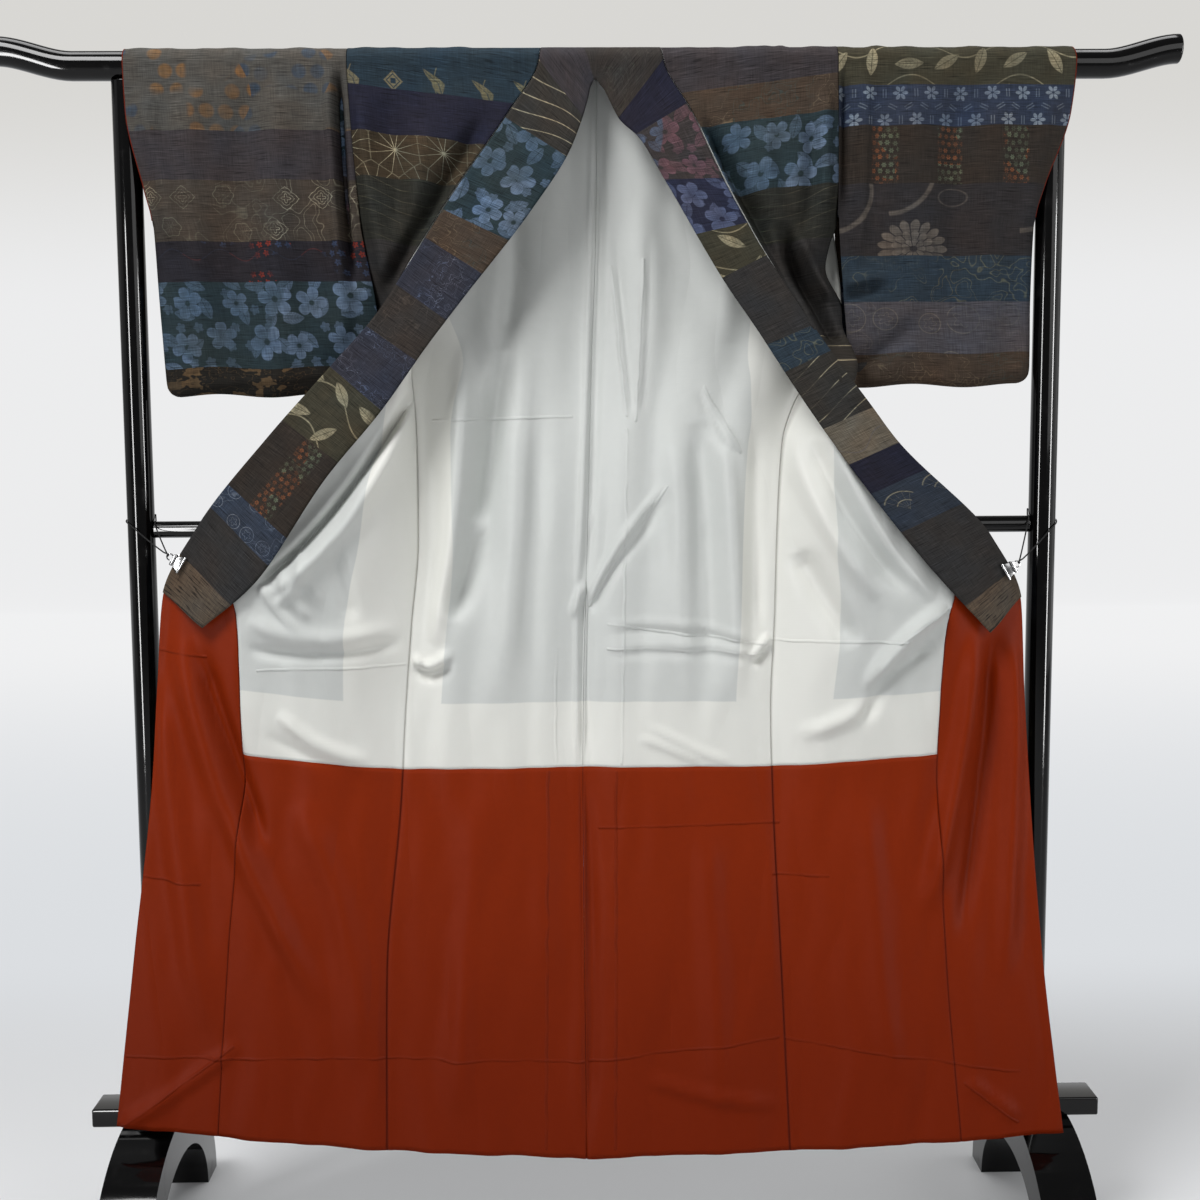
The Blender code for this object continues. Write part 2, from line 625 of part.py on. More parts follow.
def foot(name, x):
    """Arched foot: a band between two half ellipses, with flat soles."""
    points = []
    crest = BEAM_TOP - BEAM_H - FIT
    count = 20
    for i in range(count + 1):
        a = math.pi * i / count
        outer = (FOOT_REACH * math.cos(a), crest * math.sin(a))
        inner = ((FOOT_REACH - FOOT_BAND) * math.cos(a), (crest - FOOT_BAND) * math.sin(a))
        for y, z in (outer, inner):
            for side in (-0.5, 0.5):
                points.append(Vector((x + side * FOOT_W, y, z)))
    faces = []
    for i in range(count):
        a, b = i * 4, i * 4 + 4
        faces.append((a, a + 1, b + 1, b))
        faces.append((a + 2, b + 2, b + 3, a + 3))
        faces.append((a, b, b + 2, a + 2))
        faces.append((a + 1, a + 3, b + 3, b + 1))
    faces.append((0, 2, 3, 1))
    end = count * 4
    faces.append((end, end + 1, end + 3, end + 2))
    return make(name, points, faces, "lacquer")


def block(name, low, high, surface):
    points = [Vector((x, y, z)) for x in (low[0], high[0]) for y in (low[1], high[1])
              for z in (low[2], high[2])]
    faces = [(0, 1, 3, 2), (4, 6, 7, 5), (0, 4, 5, 1), (2, 3, 7, 6), (0, 2, 6, 4), (1, 5, 7, 3)]
    return make(name, points, faces, surface)


tube("rail_top", rail_path(), RAIL_R, 32, "lacquer")
mid_end = POST_X - POST_R - FIT
tube("rail_middle", [Vector((-mid_end, 0, MID_Z)), Vector((mid_end, 0, MID_Z))], MID_R, 24, "lacquer")
block("beam_base", (-BEAM_HALF, -BEAM_D / 2, BEAM_TOP - BEAM_H),
      (BEAM_HALF, BEAM_D / 2, BEAM_TOP), "lacquer")
for name, sign in SIDE.items():
    top = RAIL_Z - RAIL_R - FIT
    path = [Vector((sign * POST_X, 0, BEAM_TOP + FIT)), Vector((sign * POST_X, 0, top))]
    tube("post_" + name, path, POST_R, 32, "lacquer")
    foot("foot_" + name, sign * FOOT_X)

# ---- clips and their cords ----
CLIP_W = 0.026
CLIP_DEPTH = 0.016
CLIP_PLATE = 0.0012
# t of the clip on the front edge, height of the cord round the post
CLIP = {"left": (0.735, 1.066), "right": (0.735, 1.066)}
CORD_R = 0.0011


def clip_frame(side):
    t = CLIP[side][0]
    here = front_point(side, t, 1.0)
    along = (front_point(side, t + 0.02, 1.0) - front_point(side, t - 0.02, 1.0)).normalized()
    out = Vector((along.z, 0.0, -along.x)).normalized()
    if out.z < 0:
        out = -out
    return here, along, out


def clip(side):
    """Spring clip, a U-shaped plate that grips the edge of the collar."""
    here, along, out = clip_frame(side)
    near = -0.0113
    far = 0.0030
    p = CLIP_PLATE
    profile = [(-CLIP_DEPTH, near), (0.006, near), (0.006, far), (-CLIP_DEPTH, far)]
    inner = [(-CLIP_DEPTH, far - p), (0.006 - p, far - p), (0.006 - p, near + p),
             (-CLIP_DEPTH, near + p)]
    shape = profile + inner
    points = []
    for w in (-0.5, 0.5):
        for a, y in shape:
            points.append(here + along * w * CLIP_W + out * a + Vector((0, y, 0)))
    n = len(shape)
    faces = []
    for k in range(n):
        m = (k + 1) % n
        faces.append((k, m, m + n, k + n))
    for base in (0, n):
        faces.append((base + 0, base + 1, base + 6, base + 7))
        faces.append((base + 1, base + 2, base + 5, base + 6))
        faces.append((base + 2, base + 3, base + 4, base + 5))
    return make("clip_" + side, points, faces, "chrome")


def cord(side):
    """Cord once round the post, then down to the clip."""
    here, along, out = clip_frame(side)
    sign = SIDE[side]
    height = CLIP[side][1]
    ring = POST_R + CORD_R + FIT
    path = []
    for i in range(17):
        a = math.radians(-100.0 + 285.0 * i / 16)
        rise = 0.0025 * (16 - i) / 16
        path.append(Vector((sign * (POST_X + ring * math.cos(a)), ring * math.sin(a), height + rise)))
    start = path[0]
    goal = here + out * (0.006 + FIT + CORD_R) + Vector((0, -0.0026, 0))
    tail = []
    for i in range(1, 6):
        f = i / 5
        sag = Vector((0, -0.004 * math.sin(math.pi * f), -0.004 * math.sin(math.pi * f)))
        tail.append(start.lerp(goal, f) + sag)
    path = list(reversed(tail)) + path
    return tube("cord_" + side, path, CORD_R, 6, "cord", Vector((0.0, 0.0, 1.0)))


for name in SIDE:
    clip(name)
    cord(name)
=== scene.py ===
"""Lined silk kimono hung open on a lacquered stand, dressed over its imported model."""
import math

import bmesh
import bpy
import numpy as np
from mathutils import Matrix, Vector


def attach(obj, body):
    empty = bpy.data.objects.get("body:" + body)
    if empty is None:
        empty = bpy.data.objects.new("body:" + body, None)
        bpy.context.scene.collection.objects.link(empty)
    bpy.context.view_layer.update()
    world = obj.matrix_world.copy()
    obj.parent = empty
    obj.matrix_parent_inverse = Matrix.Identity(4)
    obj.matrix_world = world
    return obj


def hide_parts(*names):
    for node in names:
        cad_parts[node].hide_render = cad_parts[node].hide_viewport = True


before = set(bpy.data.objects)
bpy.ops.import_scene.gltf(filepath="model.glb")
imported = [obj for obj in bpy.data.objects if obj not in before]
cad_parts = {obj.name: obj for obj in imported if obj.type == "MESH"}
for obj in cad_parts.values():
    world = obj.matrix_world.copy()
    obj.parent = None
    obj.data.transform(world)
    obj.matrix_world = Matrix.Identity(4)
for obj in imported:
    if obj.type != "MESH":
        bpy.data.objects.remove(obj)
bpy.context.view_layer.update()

bpy.ops.object.select_all(action="DESELECT")

# ---- Camera ----
# A normal lens at chest height, just left of the middle and a little downhill,
# with the whole stand across the frame and its feet at the lower edge.
EYE = Vector((-0.0283, -2.3031, 1.1887))
YAW, PITCH, ROLL = (math.radians(a) for a in (0.916, 6.206, 0.337))

ahead = Vector((math.sin(YAW) * math.cos(PITCH), math.cos(YAW) * math.cos(PITCH),
                -math.sin(PITCH)))
level = Vector((math.cos(YAW), -math.sin(YAW), 0.0))
lift = level.cross(ahead)
right = level * math.cos(ROLL) - lift * math.sin(ROLL)
above = level * math.sin(ROLL) + lift * math.cos(ROLL)
camera = bpy.data.objects.new("camera", bpy.data.cameras.new("camera"))
bpy.context.collection.objects.link(camera)
camera.data.lens = 48.68
camera.data.sensor_width = 36.0
camera.matrix_world = Matrix((right, above, -ahead)).transposed().to_4x4()
camera.location = EYE
bpy.context.scene.camera = camera


# ---- Stand ----
# A knock-down stand of turned and planed wood in many coats of polished black
# lacquer. The rail's ends sweep up, the posts are pinned between rail and base
# beam, and the beam rests on two arched feet.
class Value:
    """A socket of a shader, with arithmetic that adds Math nodes."""

    def __init__(self, paint, socket):
        self.paint = paint
        self.socket = socket

    def math(self, operation, *values):
        return self.paint.node("Math", {"operation": operation}, values)

    def ease(self, start, stop):
        """0 before start, 1 after stop, smooth between."""
        return self.paint.node(
            "MapRange", {"interpolation_type": "SMOOTHSTEP"}, (self, start, stop, 0.0, 1.0))


for method, sort in (
    ("__add__", "ADD"), ("__sub__", "SUBTRACT"), ("__mul__", "MULTIPLY"),
    ("__truediv__", "DIVIDE"), ("__lt__", "LESS_THAN"), ("__gt__", "GREATER_THAN"),
    ("__abs__", "ABSOLUTE"), ("floor", "FLOOR"), ("cos", "COSINE"), ("root", "SQRT"),
    ("top", "MAXIMUM"), ("low", "MINIMUM"),
):
    setattr(Value, method, lambda self, *other, sort=sort: self.math(sort, self, *other))
for method, sort in (("__radd__", "ADD"), ("__rsub__", "SUBTRACT"), ("__rmul__", "MULTIPLY")):
    setattr(Value, method, lambda self, other, sort=sort: self.math(sort, other, self))


class Paint:
    """A material on the standard shader; constants go straight on its sockets."""

    def __init__(self, name, **constants):
        self.material = bpy.data.materials.new(name)
        self.material.use_nodes = True
        self.tree = self.material.node_tree
        self.shader = self.tree.nodes["Principled BSDF"]
        for socket, value in constants.items():
            self.shader.inputs[socket.replace("_", " ")].default_value = value

    def node(self, kind, settings, values, output=0):
        """Add any node: its kind, its settings, then the values or links of its sockets."""
        node = self.tree.nodes.new("ShaderNode" + kind)
        for key, value in settings.items():
            if key == "stops":
                ramp = node.color_ramp
                ramp.interpolation = "CONSTANT" if settings.get("steps") else "LINEAR"
                ramp.elements.remove(ramp.elements[1])
                ramp.elements[0].position = value[0][0]
                ramp.elements[0].color = (*value[0][1], 1.0)
                for place, colour in value[1:]:
                    ramp.elements.new(place).color = (*colour, 1.0)
            elif key != "steps":
                setattr(node, key, value)
        pairs = values.items() if isinstance(values, dict) else enumerate(values)
        for key, value in pairs:
            if isinstance(value, Value):
                self.tree.links.new(value.socket, node.inputs[key])
            else:
                node.inputs[key].default_value = value
        return Value(self, node.outputs[output])

    def parts(self, vector):
        """x, y and z of a vector."""
        split = self.tree.nodes.new("ShaderNodeSeparateXYZ")
        self.tree.links.new(vector.socket, split.inputs[0])
        return [Value(self, out) for out in split.outputs]

    def place(self):
        return self.node("TexCoord", {}, (), "Object")

    def vector(self, x, y, z=0.0):
        return self.node("CombineXYZ", {}, (x, y, z))

    def noise(self, vector, scale, detail=2.0, rough=0.5):
        return self.node("TexNoise", {}, {"Vector": vector, "Scale": scale, "Detail": detail,
                                          "Roughness": rough}, "Fac")

    def mix(self, factor, low, high, blend="MIX"):
        values = {0: factor}
        for key, colour in ((6, low), (7, high)):
            values[key] = colour if isinstance(colour, Value) else (*colour, 1.0)
        return self.node("Mix", {"data_type": "RGBA", "blend_type": blend}, values, 2)

    def grey(self, value):
        """A number as a grey colour, for use in a colour mix."""
        return self.node("CombineColor", {}, (value, value, value))

    def bump(self, height, strength, distance, under=None):
        values = {"Height": height, "Strength": strength, "Distance": distance}
        if under:
            values["Normal"] = under
        return self.node("Bump", {}, values, "Normal")

    def turn(self, operation, *values):
        """Vector maths; a dot product comes back as a number."""
        number = operation == "DOT_PRODUCT"
        if operation == "SCALE":
            values = {0: values[0], "Scale": values[1]}
        return self.node("VectorMath", {"operation": operation}, values, 1 if number else 0)

    def pressed(self, lines, width, height):
        """The surface's direction over fine pressed ridges, from the x z of each end."""
        x, _, z = self.parts(self.place())
        wander = self.noise(self.place(), 26.0, 1.0)
        drift = (wander - 0.5) * 0.006
        spot = self.vector(x + drift, width / 2, z + drift)
        slope = None
        for x0, z0, x1, z1 in lines:
            run = Vector((x1 - x0, 0.0, z1 - z0))
            away = self.turn("ADD", spot, (-x0, 0.0, -z0))
            share = self.turn("DOT_PRODUCT", away, run / run.length_squared)
            share = self.node("Math", {"operation": "ADD", "use_clamp": True}, (share, 0.0))
            away = self.turn("SUBTRACT", away, self.turn("SCALE", run, share))
            near = self.node("Math", {"operation": "MULTIPLY_ADD", "use_clamp": True},
                             (self.turn("DOT_PRODUCT", away, away), -1.0 / width ** 2, 1.25))
            part = self.turn("SCALE", away, near)
            slope = part if slope is None else self.turn("ADD", slope, part)
        worn = wander.ease(0.3, 0.6) * 0.65 + 0.35
        slope = self.turn("SCALE", slope, worn * (4.0 * height / width ** 2))
        # How near the pressed lines lie; the red lining darkens its colour with this, as painted
        # shade along the creases.
        self.lines = self.parts(slope)[1]
        level = self.node("NewGeometry", {}, (), "Normal")
        return self.turn("NORMALIZE", self.turn("MULTIPLY_ADD", slope, (1.0, 0.0, 1.0), level))

    def crumple(self):
        """Height of the soft creases that the cloth keeps all over."""
        x, _, z = self.parts(self.place())
        return abs(self.noise(self.vector(x * 17.0, z * 4.0, 3.0), 1.0, 1.0, 0.45) - 0.5) * 0.005

    def feed(self, **sockets):
        for socket, value in sockets.items():
            self.tree.links.new(value.socket, self.shader.inputs[socket.replace("_", " ")])


lacquer = Paint("black_lacquer", IOR=1.33, Coat_Roughness=0.03, Coat_IOR=1.3)
spot = lacquer.place()
ripple = lacquer.noise(spot, 9.0, 1.0)
dust = lacquer.noise(spot, 420.0, 1.0)
rub = lacquer.noise(spot, 26.0, 3.0, 0.65).ease(0.56, 0.74)
lacquer.feed(
    Base_Color=lacquer.mix(rub, (0.0014, 0.0013, 0.0014), (0.004, 0.0037, 0.0038)),
    Roughness=0.07 + rub * 0.08 + dust * 0.04,
    Coat_Weight=0.2 - rub * 0.15,
    Normal=lacquer.bump(ripple * 0.8, 0.1, 0.002),
)

RAIL_Z = 1.68
RAIL_R = 0.02
RAIL_HALF = 0.815
RAIL_RISE = 0.02
RAIL_BEND = 0.105
POST_X = 0.6395
POST_R = 0.019
MID_Z = 1.0432
MID_R = 0.0118
BEAM_HALF = 0.735
BEAM_TOP = 0.202
BEAM_H = 0.027
BEAM_D = 0.058
FOOT_X = 0.652
FOOT_W = 0.078
FOOT_REACH = 0.215
FOOT_BAND = 0.058
FIT = 0.0003
SIDE = {"left": -1.0, "right": 1.0}
SIDES = list(SIDE)


def only(*nodes):
    """Select just these pieces, the first of them active."""
    bpy.ops.object.select_all(action="DESELECT")
    for node in nodes:
        node.select_set(True)
    bpy.context.view_layer.objects.active = nodes[0]


def settle(node, paint, slot, *replaced):
    """Put a finished piece's place in its mesh, paint it and let it ride."""
    only(node)
    bpy.ops.object.transform_apply(location=True, rotation=True, scale=True)
    node.data.materials.clear()
    node.data.materials.append(paint.material)
    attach(node, "root")
    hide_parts(*replaced)
    node.select_set(False)


def soften(node, width, segments=3, angle=40.0):
    """Round the sharp edges and shade the rest smooth."""
    bevel = node.modifiers.new("edge", "BEVEL")
    bevel.width = width
    bevel.segments = segments
    bevel.limit_method = "ANGLE"
    bevel.angle_limit = math.radians(angle)
    only(node)
    bpy.ops.object.modifier_apply(modifier="edge")
    bpy.ops.object.shade_smooth_by_angle(angle=math.radians(30.0))


def block(size, centre):
    """A plain block."""
    bpy.ops.mesh.primitive_cube_add(size=1.0, location=centre)
    bpy.context.object.scale = size
    bpy.ops.object.transform_apply(location=True, rotation=True, scale=True)
    return bpy.context.object


def bar(radius, length, centre, turn=(0.0, math.pi / 2, 0.0), sides=64):
    """A round bar, laid from side to side unless it is turned another way."""
    bpy.ops.mesh.primitive_cylinder_add(
        vertices=sides, radius=radius, depth=length, location=centre, rotation=turn)
    return bpy.context.object


def pick(node, test):
    """In edit mode, select only the faces whose centres pass a test."""
    work = bmesh.from_edit_mesh(node.data)
    for face in work.faces:
        face.select = bool(test(face.calc_center_median()))
    bmesh.update_edit_mesh(node.data)


RAIL_STEPS = 12
rail = bar(RAIL_R, 2 * (RAIL_HALF - RAIL_BEND), (0.0, 0.0, RAIL_Z))
rail.name = "rail_top_lacquered"
bpy.ops.object.transform_apply(location=True, rotation=True, scale=True)
bpy.ops.object.mode_set(mode="EDIT")
bpy.ops.mesh.select_mode(type="FACE")
for end in (-1.0, 1.0):
    pick(rail, lambda c, e=end: c.x * e > RAIL_HALF - RAIL_BEND - 1e-4)
    last_rise = 0.0
    tilt = 0.0
    for k in range(1, RAIL_STEPS + 1):
        f = k / RAIL_STEPS
        rise = RAIL_RISE * f * f * (3 - 2 * f)
        bpy.ops.mesh.extrude_region_move(TRANSFORM_OT_translate={
            "value": (end * RAIL_BEND / RAIL_STEPS, 0.0, rise - last_rise)})
        aim = math.atan(RAIL_RISE / RAIL_BEND * 6 * f * (1 - f)) * (k < RAIL_STEPS)
        here = Vector((end * (RAIL_HALF - RAIL_BEND * (1 - f)), 0.0, RAIL_Z + rise))
        bpy.ops.transform.rotate(value=(aim - tilt) * end, orient_axis="Y", orient_type="GLOBAL",
                                 center_override=here)
        tilt = aim
        last_rise = rise
bpy.ops.object.mode_set(mode="OBJECT")
soften(rail, 0.0022, 4, 60.0)
settle(rail, lacquer, "lacquer", "rail_top")

middle = bar(MID_R, 2 * (POST_X - POST_R - FIT), (0.0, 0.0, MID_Z), sides=48)
middle.name = "rail_middle_lacquered"
soften(middle, 0.0008)
settle(middle, lacquer, "lacquer", "rail_middle")

beam = block((2 * BEAM_HALF, BEAM_D, BEAM_H), (0.0, 0.0, BEAM_TOP - BEAM_H / 2))
beam.name = "beam_base_lacquered"
soften(beam, 0.003, 4)
settle(beam, lacquer, "lacquer", "beam_base")

for name, sign in SIDE.items():
    top = RAIL_Z - RAIL_R - FIT
    post = bar(POST_R, top - BEAM_TOP - FIT, (sign * POST_X, 0.0, (BEAM_TOP + FIT + top) / 2),
               (0.0, 0.0, 0.0))
    post.name = "post_%s_lacquered" % name
    soften(post, 0.0012)
    settle(post, lacquer, "lacquer", "post_" + name)
    crest = BEAM_TOP - BEAM_H - FIT
    foot, arch = (bar(1.0, wide, (sign * FOOT_X, 0.0, 0.0), sides=128)
                  for wide in (FOOT_W, 2 * FOOT_W))
    foot.name = "foot_%s_lacquered" % name
    foot.scale = (crest, FOOT_REACH, 1.0)
    arch.scale = (crest - FOOT_BAND, FOOT_REACH - FOOT_BAND, 1.0)
    only(foot, arch)
    bpy.ops.object.transform_apply(location=True, rotation=True, scale=True)
    under = block((4 * FOOT_W, 1.0, 0.5), (sign * FOOT_X, 0.0, -0.25))
    for cutter in (arch, under):
        cut_off = foot.modifiers.new("cut", "BOOLEAN")
        cut_off.operation = "DIFFERENCE"
        cut_off.object = cutter
        only(foot)
        bpy.ops.object.modifier_apply(modifier="cut")
        bpy.data.objects.remove(cutter, do_unlink=True)
    soften(foot, 0.0026, 3, 50.0)
    settle(foot, lacquer, "lacquer", "foot_" + name)


# ---- Body lining and the shape of the hanging cloth ----
# White plain-weave silk, cut as one panel a side from the front waist over the
# shoulder to the back waist, and sewn at the side seams and down the middle of
# the back. It looks warmer where the seam allowances double it.
LINING = 0.001
WRAP_R = RAIL_R + 0.0006 + LINING + 0.00015
SKIRT_LINING = 1.003
HEM = 1.565
SIDE_SEAM = 0.37
OVERLAP_TOP = 0.43
NECK_DROP = 0.049
# The tables of places below are in tenths of a millimetre, those of shares in tenths of a
# thousandth; every one is divided by this
UNIT = 10000.0
# Front: t, side x y h, front edge x y h, swell near the side x y, near the edge x y
FRONT = {
    "left": [
        (0, -3330, 0, 0, -680, 0, 0, 0, 0, 0, 0), (340, -3325, 0, 340, -720, 0, 340, 0, 0, 0, 0),
        (1000, -3290, -20, 1020, -1120, -140, 1020, 0, -60, 0, -40),
        (2000, -3220, 10, 2020, -1820, -300, 2020, 60, -240, 80, -100),
        (3000, -3130, 100, 3020, -2480, -440, 3060, 160, -240, 100, 20),
        (3700, -2960, 160, 3720, -2920, -540, 3760, 440, -200, 520, 60),
        (4500, -2560, 140, 4520, -3550, -580, 4470, 450, -600, 800, -40),
        (5500, -2480, 80, 5540, -4400, -560, 5390, 200, -950, 800, -60),
        (6800, -2470, 0, 6840, -5450, -420, 6640, -100, -1100, 400, -160),
        (8000, -2580, -50, 8090, -6000, -300, 7640, -300, -900, 0, -400),
        (9200, -2680, -80, 9290, -6110, -300, 8840, -200, -500, 0, -360),
        (10500, -2765, -120, 10590, -6220, -310, 10140, 0, -220, 0, -180),
        (13000, -3010, -180, 13090, -6550, -360, 12640, 0, -140, 0, -100),
        (15650, -3058, -240, 15710, -6880, -440, 15200, 0, -100, 0, -60),
    ],
    "right": [
        (0, 3380, 0, 0, 950, 0, 0, 0, 0, 0, 0), (340, 3385, 0, 340, 1000, 0, 340, 0, 0, 0, 0),
        (1000, 3390, -20, 1020, 1370, -140, 1020, 0, -60, 0, -40),
        (2000, 3400, 10, 2020, 1840, -300, 2020, -60, -240, -80, -100),
        (2500, 3390, 60, 2520, 2110, -370, 2530, -80, -260, -90, -60),
        (2800, 3290, 60, 2820, 2280, -410, 2840, -40, -300, -100, -40),
        (3100, 3240, 80, 3120, 2470, -455, 3150, -20, -260, -140, 20),
        (3700, 3500, 160, 3720, 2850, -540, 3760, 100, -200, -460, 60),
        (4500, 3120, 140, 4520, 3350, -580, 4470, 1180, -450, -400, -40),
        (5000, 2820, 110, 5030, 3755, -575, 5000, 1000, -700, -550, -50),
        (5500, 2670, 80, 5540, 4170, -560, 5540, 300, -950, -700, -60),
        (6800, 2590, 0, 6840, 5500, -420, 6840, 100, -1100, -400, -160),
        (8000, 2550, -50, 8090, 5980, -300, 7790, 300, -900, 0, -400),
        (9200, 2500, -80, 9290, 6045, -300, 8990, 200, -500, 0, -360),
        (10500, 2535, -120, 10590, 6140, -310, 10240, 0, -220, 0, -180),
        (13000, 2665, -180, 13090, 6340, -500, 12770, 0, -140, 0, -100),
        (15650, 2800, -240, 15790, 6635, -730, 15350, 0, -100, 0, -60),
    ],
}
# Share of the front's width, from the side, that the body panel takes
OVERLAP_SEAM = [
    (0, 10000), (3800, 9850), (4800, 8800), (6000, 7820), (7000, 7220), (7650, 7120), (8050, 6620),
    (8500, 6460), (10500, 6330), (15650, 6260),
]
# Back: t, armhole edge x on the left and on the right, its y, centre seam y h, height of the
# three long folds: first left and right, second, third left and right
BACK = [
    (490, -3325, 3385, 0, 0, 490, 0, 0, 0, 0, 0),
    (1600, -3250, 3390, -20, 10, 1600, 20, 20, 0, 30, 40),
    (2450, -3185, 3395, -50, 0, 2450, 50, 60, 40, 60, 70),
    (3000, -3130, 3450, -130, -20, 3000, 70, 80, 60, 80, 90),
    (3700, -2960, 3500, -230, -70, 3720, 100, 100, 80, 90, 100),
    (4500, -2560, 3120, -250, -140, 4520, 130, 120, 100, 90, 100),
    (5500, -2480, 2660, -310, -260, 5540, 140, 120, 120, 90, 100),
    (6800, -2470, 2590, -390, -400, 6840, 140, 110, 120, 80, 90),
    (8000, -2580, 2550, -465, -450, 8090, 110, 90, 100, 60, 70),
    (9200, -2680, 2500, -505, -470, 9290, 80, 70, 70, 40, 50),
    (10500, -2765, 2535, -555, -500, 10590, 50, 50, 50, 30, 40),
    (13000, -3010, 2665, -615, -570, 13090, 30, 30, 30, 20, 20),
    (15650, -3058, 2800, -675, -640, 15890, 20, 20, 20, 20, 20),
]
# Centre seam: t, x
CENTRE = [
    (0, 88), (2500, 60), (4500, -20), (6800, -90), (9200, -165), (10500, -180), (15650, -162),
]
# Side seam: t, how far the back's edge lies behind the front's
SIDE_STEP = [
    (3700, 30), (5600, 16), (8600, 0), (15650, 0),
]
# Share of the back's width from the side, and half width, of the long folds
BACK_FOLDS = [(0.25, 0.2), (0.53, 0.2), (0.8, 0.14)]
# Back neckline: h behind the rail's top, x on the left, x on the right
NECKLINE = [
    (0, -680, 950), (200, -630, 900), (360, -480, 740), (460, -240, 460), (490, 86, 90),
]


def held(x):
    """x kept from 0 to 1."""
    return np.clip(x, 0, 1)


def at(table, t):
    """Every column of a table at t, smooth through its rows."""
    rows = np.array(table) / UNIT
    ts = rows[:, 0]
    t = np.asarray(t, float)
    d = np.diff(rows[:, 1:], axis=0) / np.diff(ts)[:, None]
    m = np.vstack((d[:1], d[:-1], d[-1:]))[: len(ts)]
    m[-1] = d[-1]
    for k in range(1, len(ts) - 1):
        a, b = d[k - 1], d[k]
        total = np.where(np.abs(a + b) < 1e-12, 1.0, a + b)
        m[k] = np.where(a * b > 0, 2 * a * b / total, 0.0)
    k = np.clip(np.searchsorted(ts, t, side="right") - 1, 0, len(ts) - 2)
    step = ts[k + 1] - ts[k]
    f = np.clip((t - ts[k]) / step, 0.0, 1.0)
    out = []
    for c in range(rows.shape[1] - 1):
        v = rows[:, c + 1]
        out.append(v[k] * (1 + 2 * f) * (1 - f) ** 2 + m[k, c] * step * f * (1 - f) ** 2
                   + v[k + 1] * f * f * (3 - 2 * f) + m[k + 1, c] * step * f * f * (f - 1))
    return out


def wrap(x, h, y, radius=WRAP_R):
    """Points on a sheet laid over the rail; y is their distance off the fall."""
    quarter = radius * math.pi / 2
    x, h, y = np.broadcast_arrays(x, h, y)
    a = np.minimum(np.abs(h), quarter) / radius
    out = np.where(h > 0, -1.0, 1.0) * radius * np.sin(a) + y
    z = RAIL_Z + radius * np.cos(a) - np.maximum(np.abs(h) - quarter, 0.0)
    return np.stack((x, out, z), -1)


BEND_STEPS = 10


def creases(table, x, z):
    """Height of all creases at x, z: soft lines, each bent through three points."""
    total = np.zeros_like(x)
    for x0, z0, x1, z1, x2, z2, width, height in np.array(table) / UNIT:
        cx, cz = 2 * x1 - (x0 + x2) / 2, 2 * z1 - (z0 + z2) / 2
        best = np.full(x.shape, 9.0)
        where = np.zeros_like(x)
        last = (x0, z0)
        for k in range(1, BEND_STEPS + 1):
            f = k / BEND_STEPS
            ex = (1 - f) ** 2 * x0 + 2 * f * (1 - f) * cx + f * f * x2
            ez = (1 - f) ** 2 * z0 + 2 * f * (1 - f) * cz + f * f * z2
            dx, dz = ex - last[0], ez - last[1]
            s = held(((x - last[0]) * dx + (z - last[1]) * dz) / (dx * dx + dz * dz))
            gap = np.hypot(x - last[0] - s * dx, z - last[1] - s * dz)
            nearer = gap < best
            best = np.where(nearer, gap, best)
            where = np.where(nearer, (k - 1 + s) / BEND_STEPS, where)
            last = (ex, ez)
        end = np.minimum(where, 1 - where) / 0.16
        fade = 0.12 + 0.88 * held(end) ** 0.8
        total += 2.1 * height * fade * np.exp(-((best / width) ** 2))
    return total


def waver(x, z, table):
    """Slow unevenness of hung cloth: length across, length down, phase, height."""
    total = np.zeros_like(x)
    for across, down, phase, height in table:
        total += height * np.sin(x * 2 * math.pi / across + phase
                                 + 1.3 * np.sin(z * 2 * math.pi / down + phase * 1.7))
    return total


